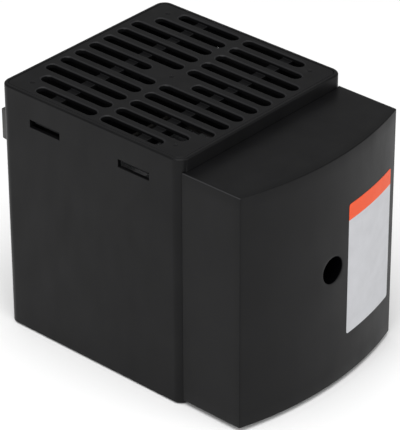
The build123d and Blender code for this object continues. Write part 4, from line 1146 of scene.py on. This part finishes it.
def buildLabel(look):
    # Rows up the label; each row is as wide as the rounded rectangle is at that height
    halfHeight = (look["top"] - look["bottom"]) / 2
    halfWidth = (look["right"] - look["left"]) / 2
    middleX = (look["left"] + look["right"]) / 2
    middleZ = (look["top"] + look["bottom"]) / 2
    step = np.linspace(-math.pi / 2, math.pi / 2, look["rows"])
    up = halfHeight * np.sin(step)
    beyond = np.clip(np.abs(up) - (halfHeight - look["corner"]), 0, None)
    inset = look["corner"] - np.sqrt(look["corner"] ** 2 - beyond**2)
    across = np.linspace(-1, 1, look["columns"])
    x = middleX + across[None, :] * (halfWidth - inset)[:, None]
    z = middleZ + np.repeat(up[:, None], look["columns"], axis=1)
    outer = np.stack([x, coverFace(x) - look["thickness"], z], axis=-1)
    inner = np.stack([x, coverFace(x) + look["sunk"], z], axis=-1)
    shape = gridFaces(look["rows"], look["columns"])
    count = look["rows"] * look["columns"]
    index = np.arange(count).reshape(look["rows"], look["columns"])
    loop = np.concatenate([index[0], index[1:, -1], index[-1, -2::-1], index[-2:0:-1, 0]])
    rim = np.stack([loop, np.roll(loop, -1), np.roll(loop, -1) + count, loop + count], axis=-1)
    points = np.concatenate([outer.reshape(-1, 3), inner.reshape(-1, 3)])
    faces = np.concatenate([shape, shape[:, ::-1] + count, rim])
    piece = meshObject("coverLabel", points, faces, labelMaterial(look), "cover")
    weldAndFace(piece)
    smoothWithin(piece.data, look["smooth"])


def labelMaterial(look):
    # Orange above the header's lower edge, pale grey below, both with faint clouds and a grain
    material, tree, shader = startMaterial("labelFilm", specular=look["specular"])
    above = addNode(tree, "ShaderNodeMath", operation="GREATER_THAN")
    above.inputs[1].default_value = look["top"] - look["header"]
    tree.links.new(objectHeight(tree), above.inputs[0])
    drift = rescale(tree, noiseField(tree, look["cloudSize"], detail=3), 0, 1)
    field = blendColours(tree, drift, *look["fieldColours"])
    header = blendColours(tree, drift, *look["headerColours"])
    colour = blendColours(tree, above.outputs["Value"], field, header)
    tree.links.new(colour, shader.inputs["Base Color"])
    grain = noiseField(tree, look["grainSize"], detail=2)
    tree.links.new(rescale(tree, grain, *look["roughness"]), shader.inputs["Roughness"])
    tree.links.new(raiseSurface(tree, grain, look["grainDepth"]), shader.inputs["Normal"])
    return material


buildLabel(labelLook)
print("label on the cover")


# Studio: a pale floor, three soft lamps and a dim room

studioLook = {
    "floorHalf": 4.0,
    "floorPoints": 9,  # along each side
    "floorDrop": 0.4 * mm,
    "floorTint": (0.93, 0.93, 0.93),
    "floorShade": 0.985,  # share of the tint where it is darkest
    "floorClouds": 0.5,
    "floorRoughness": 0.9,
    "room": (1.0, 1.0, 1.0),
    "roomStrength": 0.42,
    "lampAim": (0, 0, 0.06),
}
lamps = {
    "topLamp": {"place": (-0.5, -0.3, 1.9), "size": 1.8, "power": 36},
    "leftLamp": {"place": (-1.8, -0.7, 0.7), "size": 1.2, "power": 10},
    "frontLamp": {"place": (0.3, -2.0, 0.7), "size": 1.2, "power": 10},
}


def buildStudio(look):
    half = look["floorHalf"]
    steps = np.linspace(-half, half, look["floorPoints"])
    x, y = np.meshgrid(steps, steps, indexing="ij")
    points = np.stack([x, y, np.full_like(x, -look["floorDrop"])], axis=-1)
    mesh = bpy.data.meshes.new("floor")
    mesh.from_pydata(points.reshape(-1, 3).tolist(), [], gridFaces(*x.shape).tolist())
    floor = bpy.data.objects.new("floor", mesh)
    bpy.context.scene.collection.objects.link(floor)
    material, tree, shader = startMaterial("paleFloor", specular=0.0)
    drift = noiseField(tree, look["floorClouds"], detail=2)
    shade = tinted(look["floorTint"], look["floorShade"])
    tree.links.new(
        blendColours(tree, drift, look["floorTint"], shade), shader.inputs["Base Color"]
    )
    shader.inputs["Roughness"].default_value = look["floorRoughness"]
    mesh.materials.append(material)
    world = bpy.data.worlds.new("room")
    world.use_nodes = True
    background = world.node_tree.nodes["Background"]
    background.inputs["Color"].default_value = (*look["room"], 1)
    background.inputs["Strength"].default_value = look["roomStrength"]
    bpy.context.scene.world = world


def buildLamp(name, look, aimedAt):
    data = bpy.data.lights.new(name, "AREA")
    data.shape = "SQUARE"
    data.size = look["size"]
    data.energy = look["power"]
    lamp = bpy.data.objects.new(name, data)
    lamp.location = look["place"]
    aim = Vector(aimedAt) - Vector(look["place"])
    lamp.rotation_euler = aim.to_track_quat("-Z", "Y").to_euler()
    bpy.context.scene.collection.objects.link(lamp)


buildStudio(studioLook)
for name, look in lamps.items():
    buildLamp(name, look, studioLook["lampAim"])


# The photograph's view, found from the object's straight edges
cameraLook = {
    "place": (-860.53, -787.34, 751.68),  # mm
    "back": (-0.639542, -0.572515, 0.513042),
    "roll": -0.243,  # degrees, against the level
    "focalPixels": 2900.1,
    "longSide": 430,  # pixels
    "sensor": 36.0,  # mm
    "clip": (0.05, 30),
}


def buildCamera(look):
    data = bpy.data.cameras.new("photoCamera")
    data.sensor_width = look["sensor"]
    data.lens = look["focalPixels"] * look["sensor"] / look["longSide"]
    data.clip_start, data.clip_end = look["clip"]
    back = Vector(look["back"]).normalized()
    level = Vector((-back.y, back.x, 0)).normalized()
    upright = back.cross(level)
    turn = math.radians(look["roll"])
    right = level * math.cos(turn) + upright * math.sin(turn)
    up = back.cross(right)
    camera = bpy.data.objects.new("photoCamera", data)
    facing = Matrix((right, up, back)).transposed().to_4x4()
    camera.matrix_world = Matrix.Translation(Vector(look["place"]) * mm) @ facing
    bpy.context.scene.collection.objects.link(camera)
    bpy.context.scene.camera = camera


buildCamera(cameraLook)
bpy.context.scene.view_settings.view_transform = "Standard"
print("studio and camera")
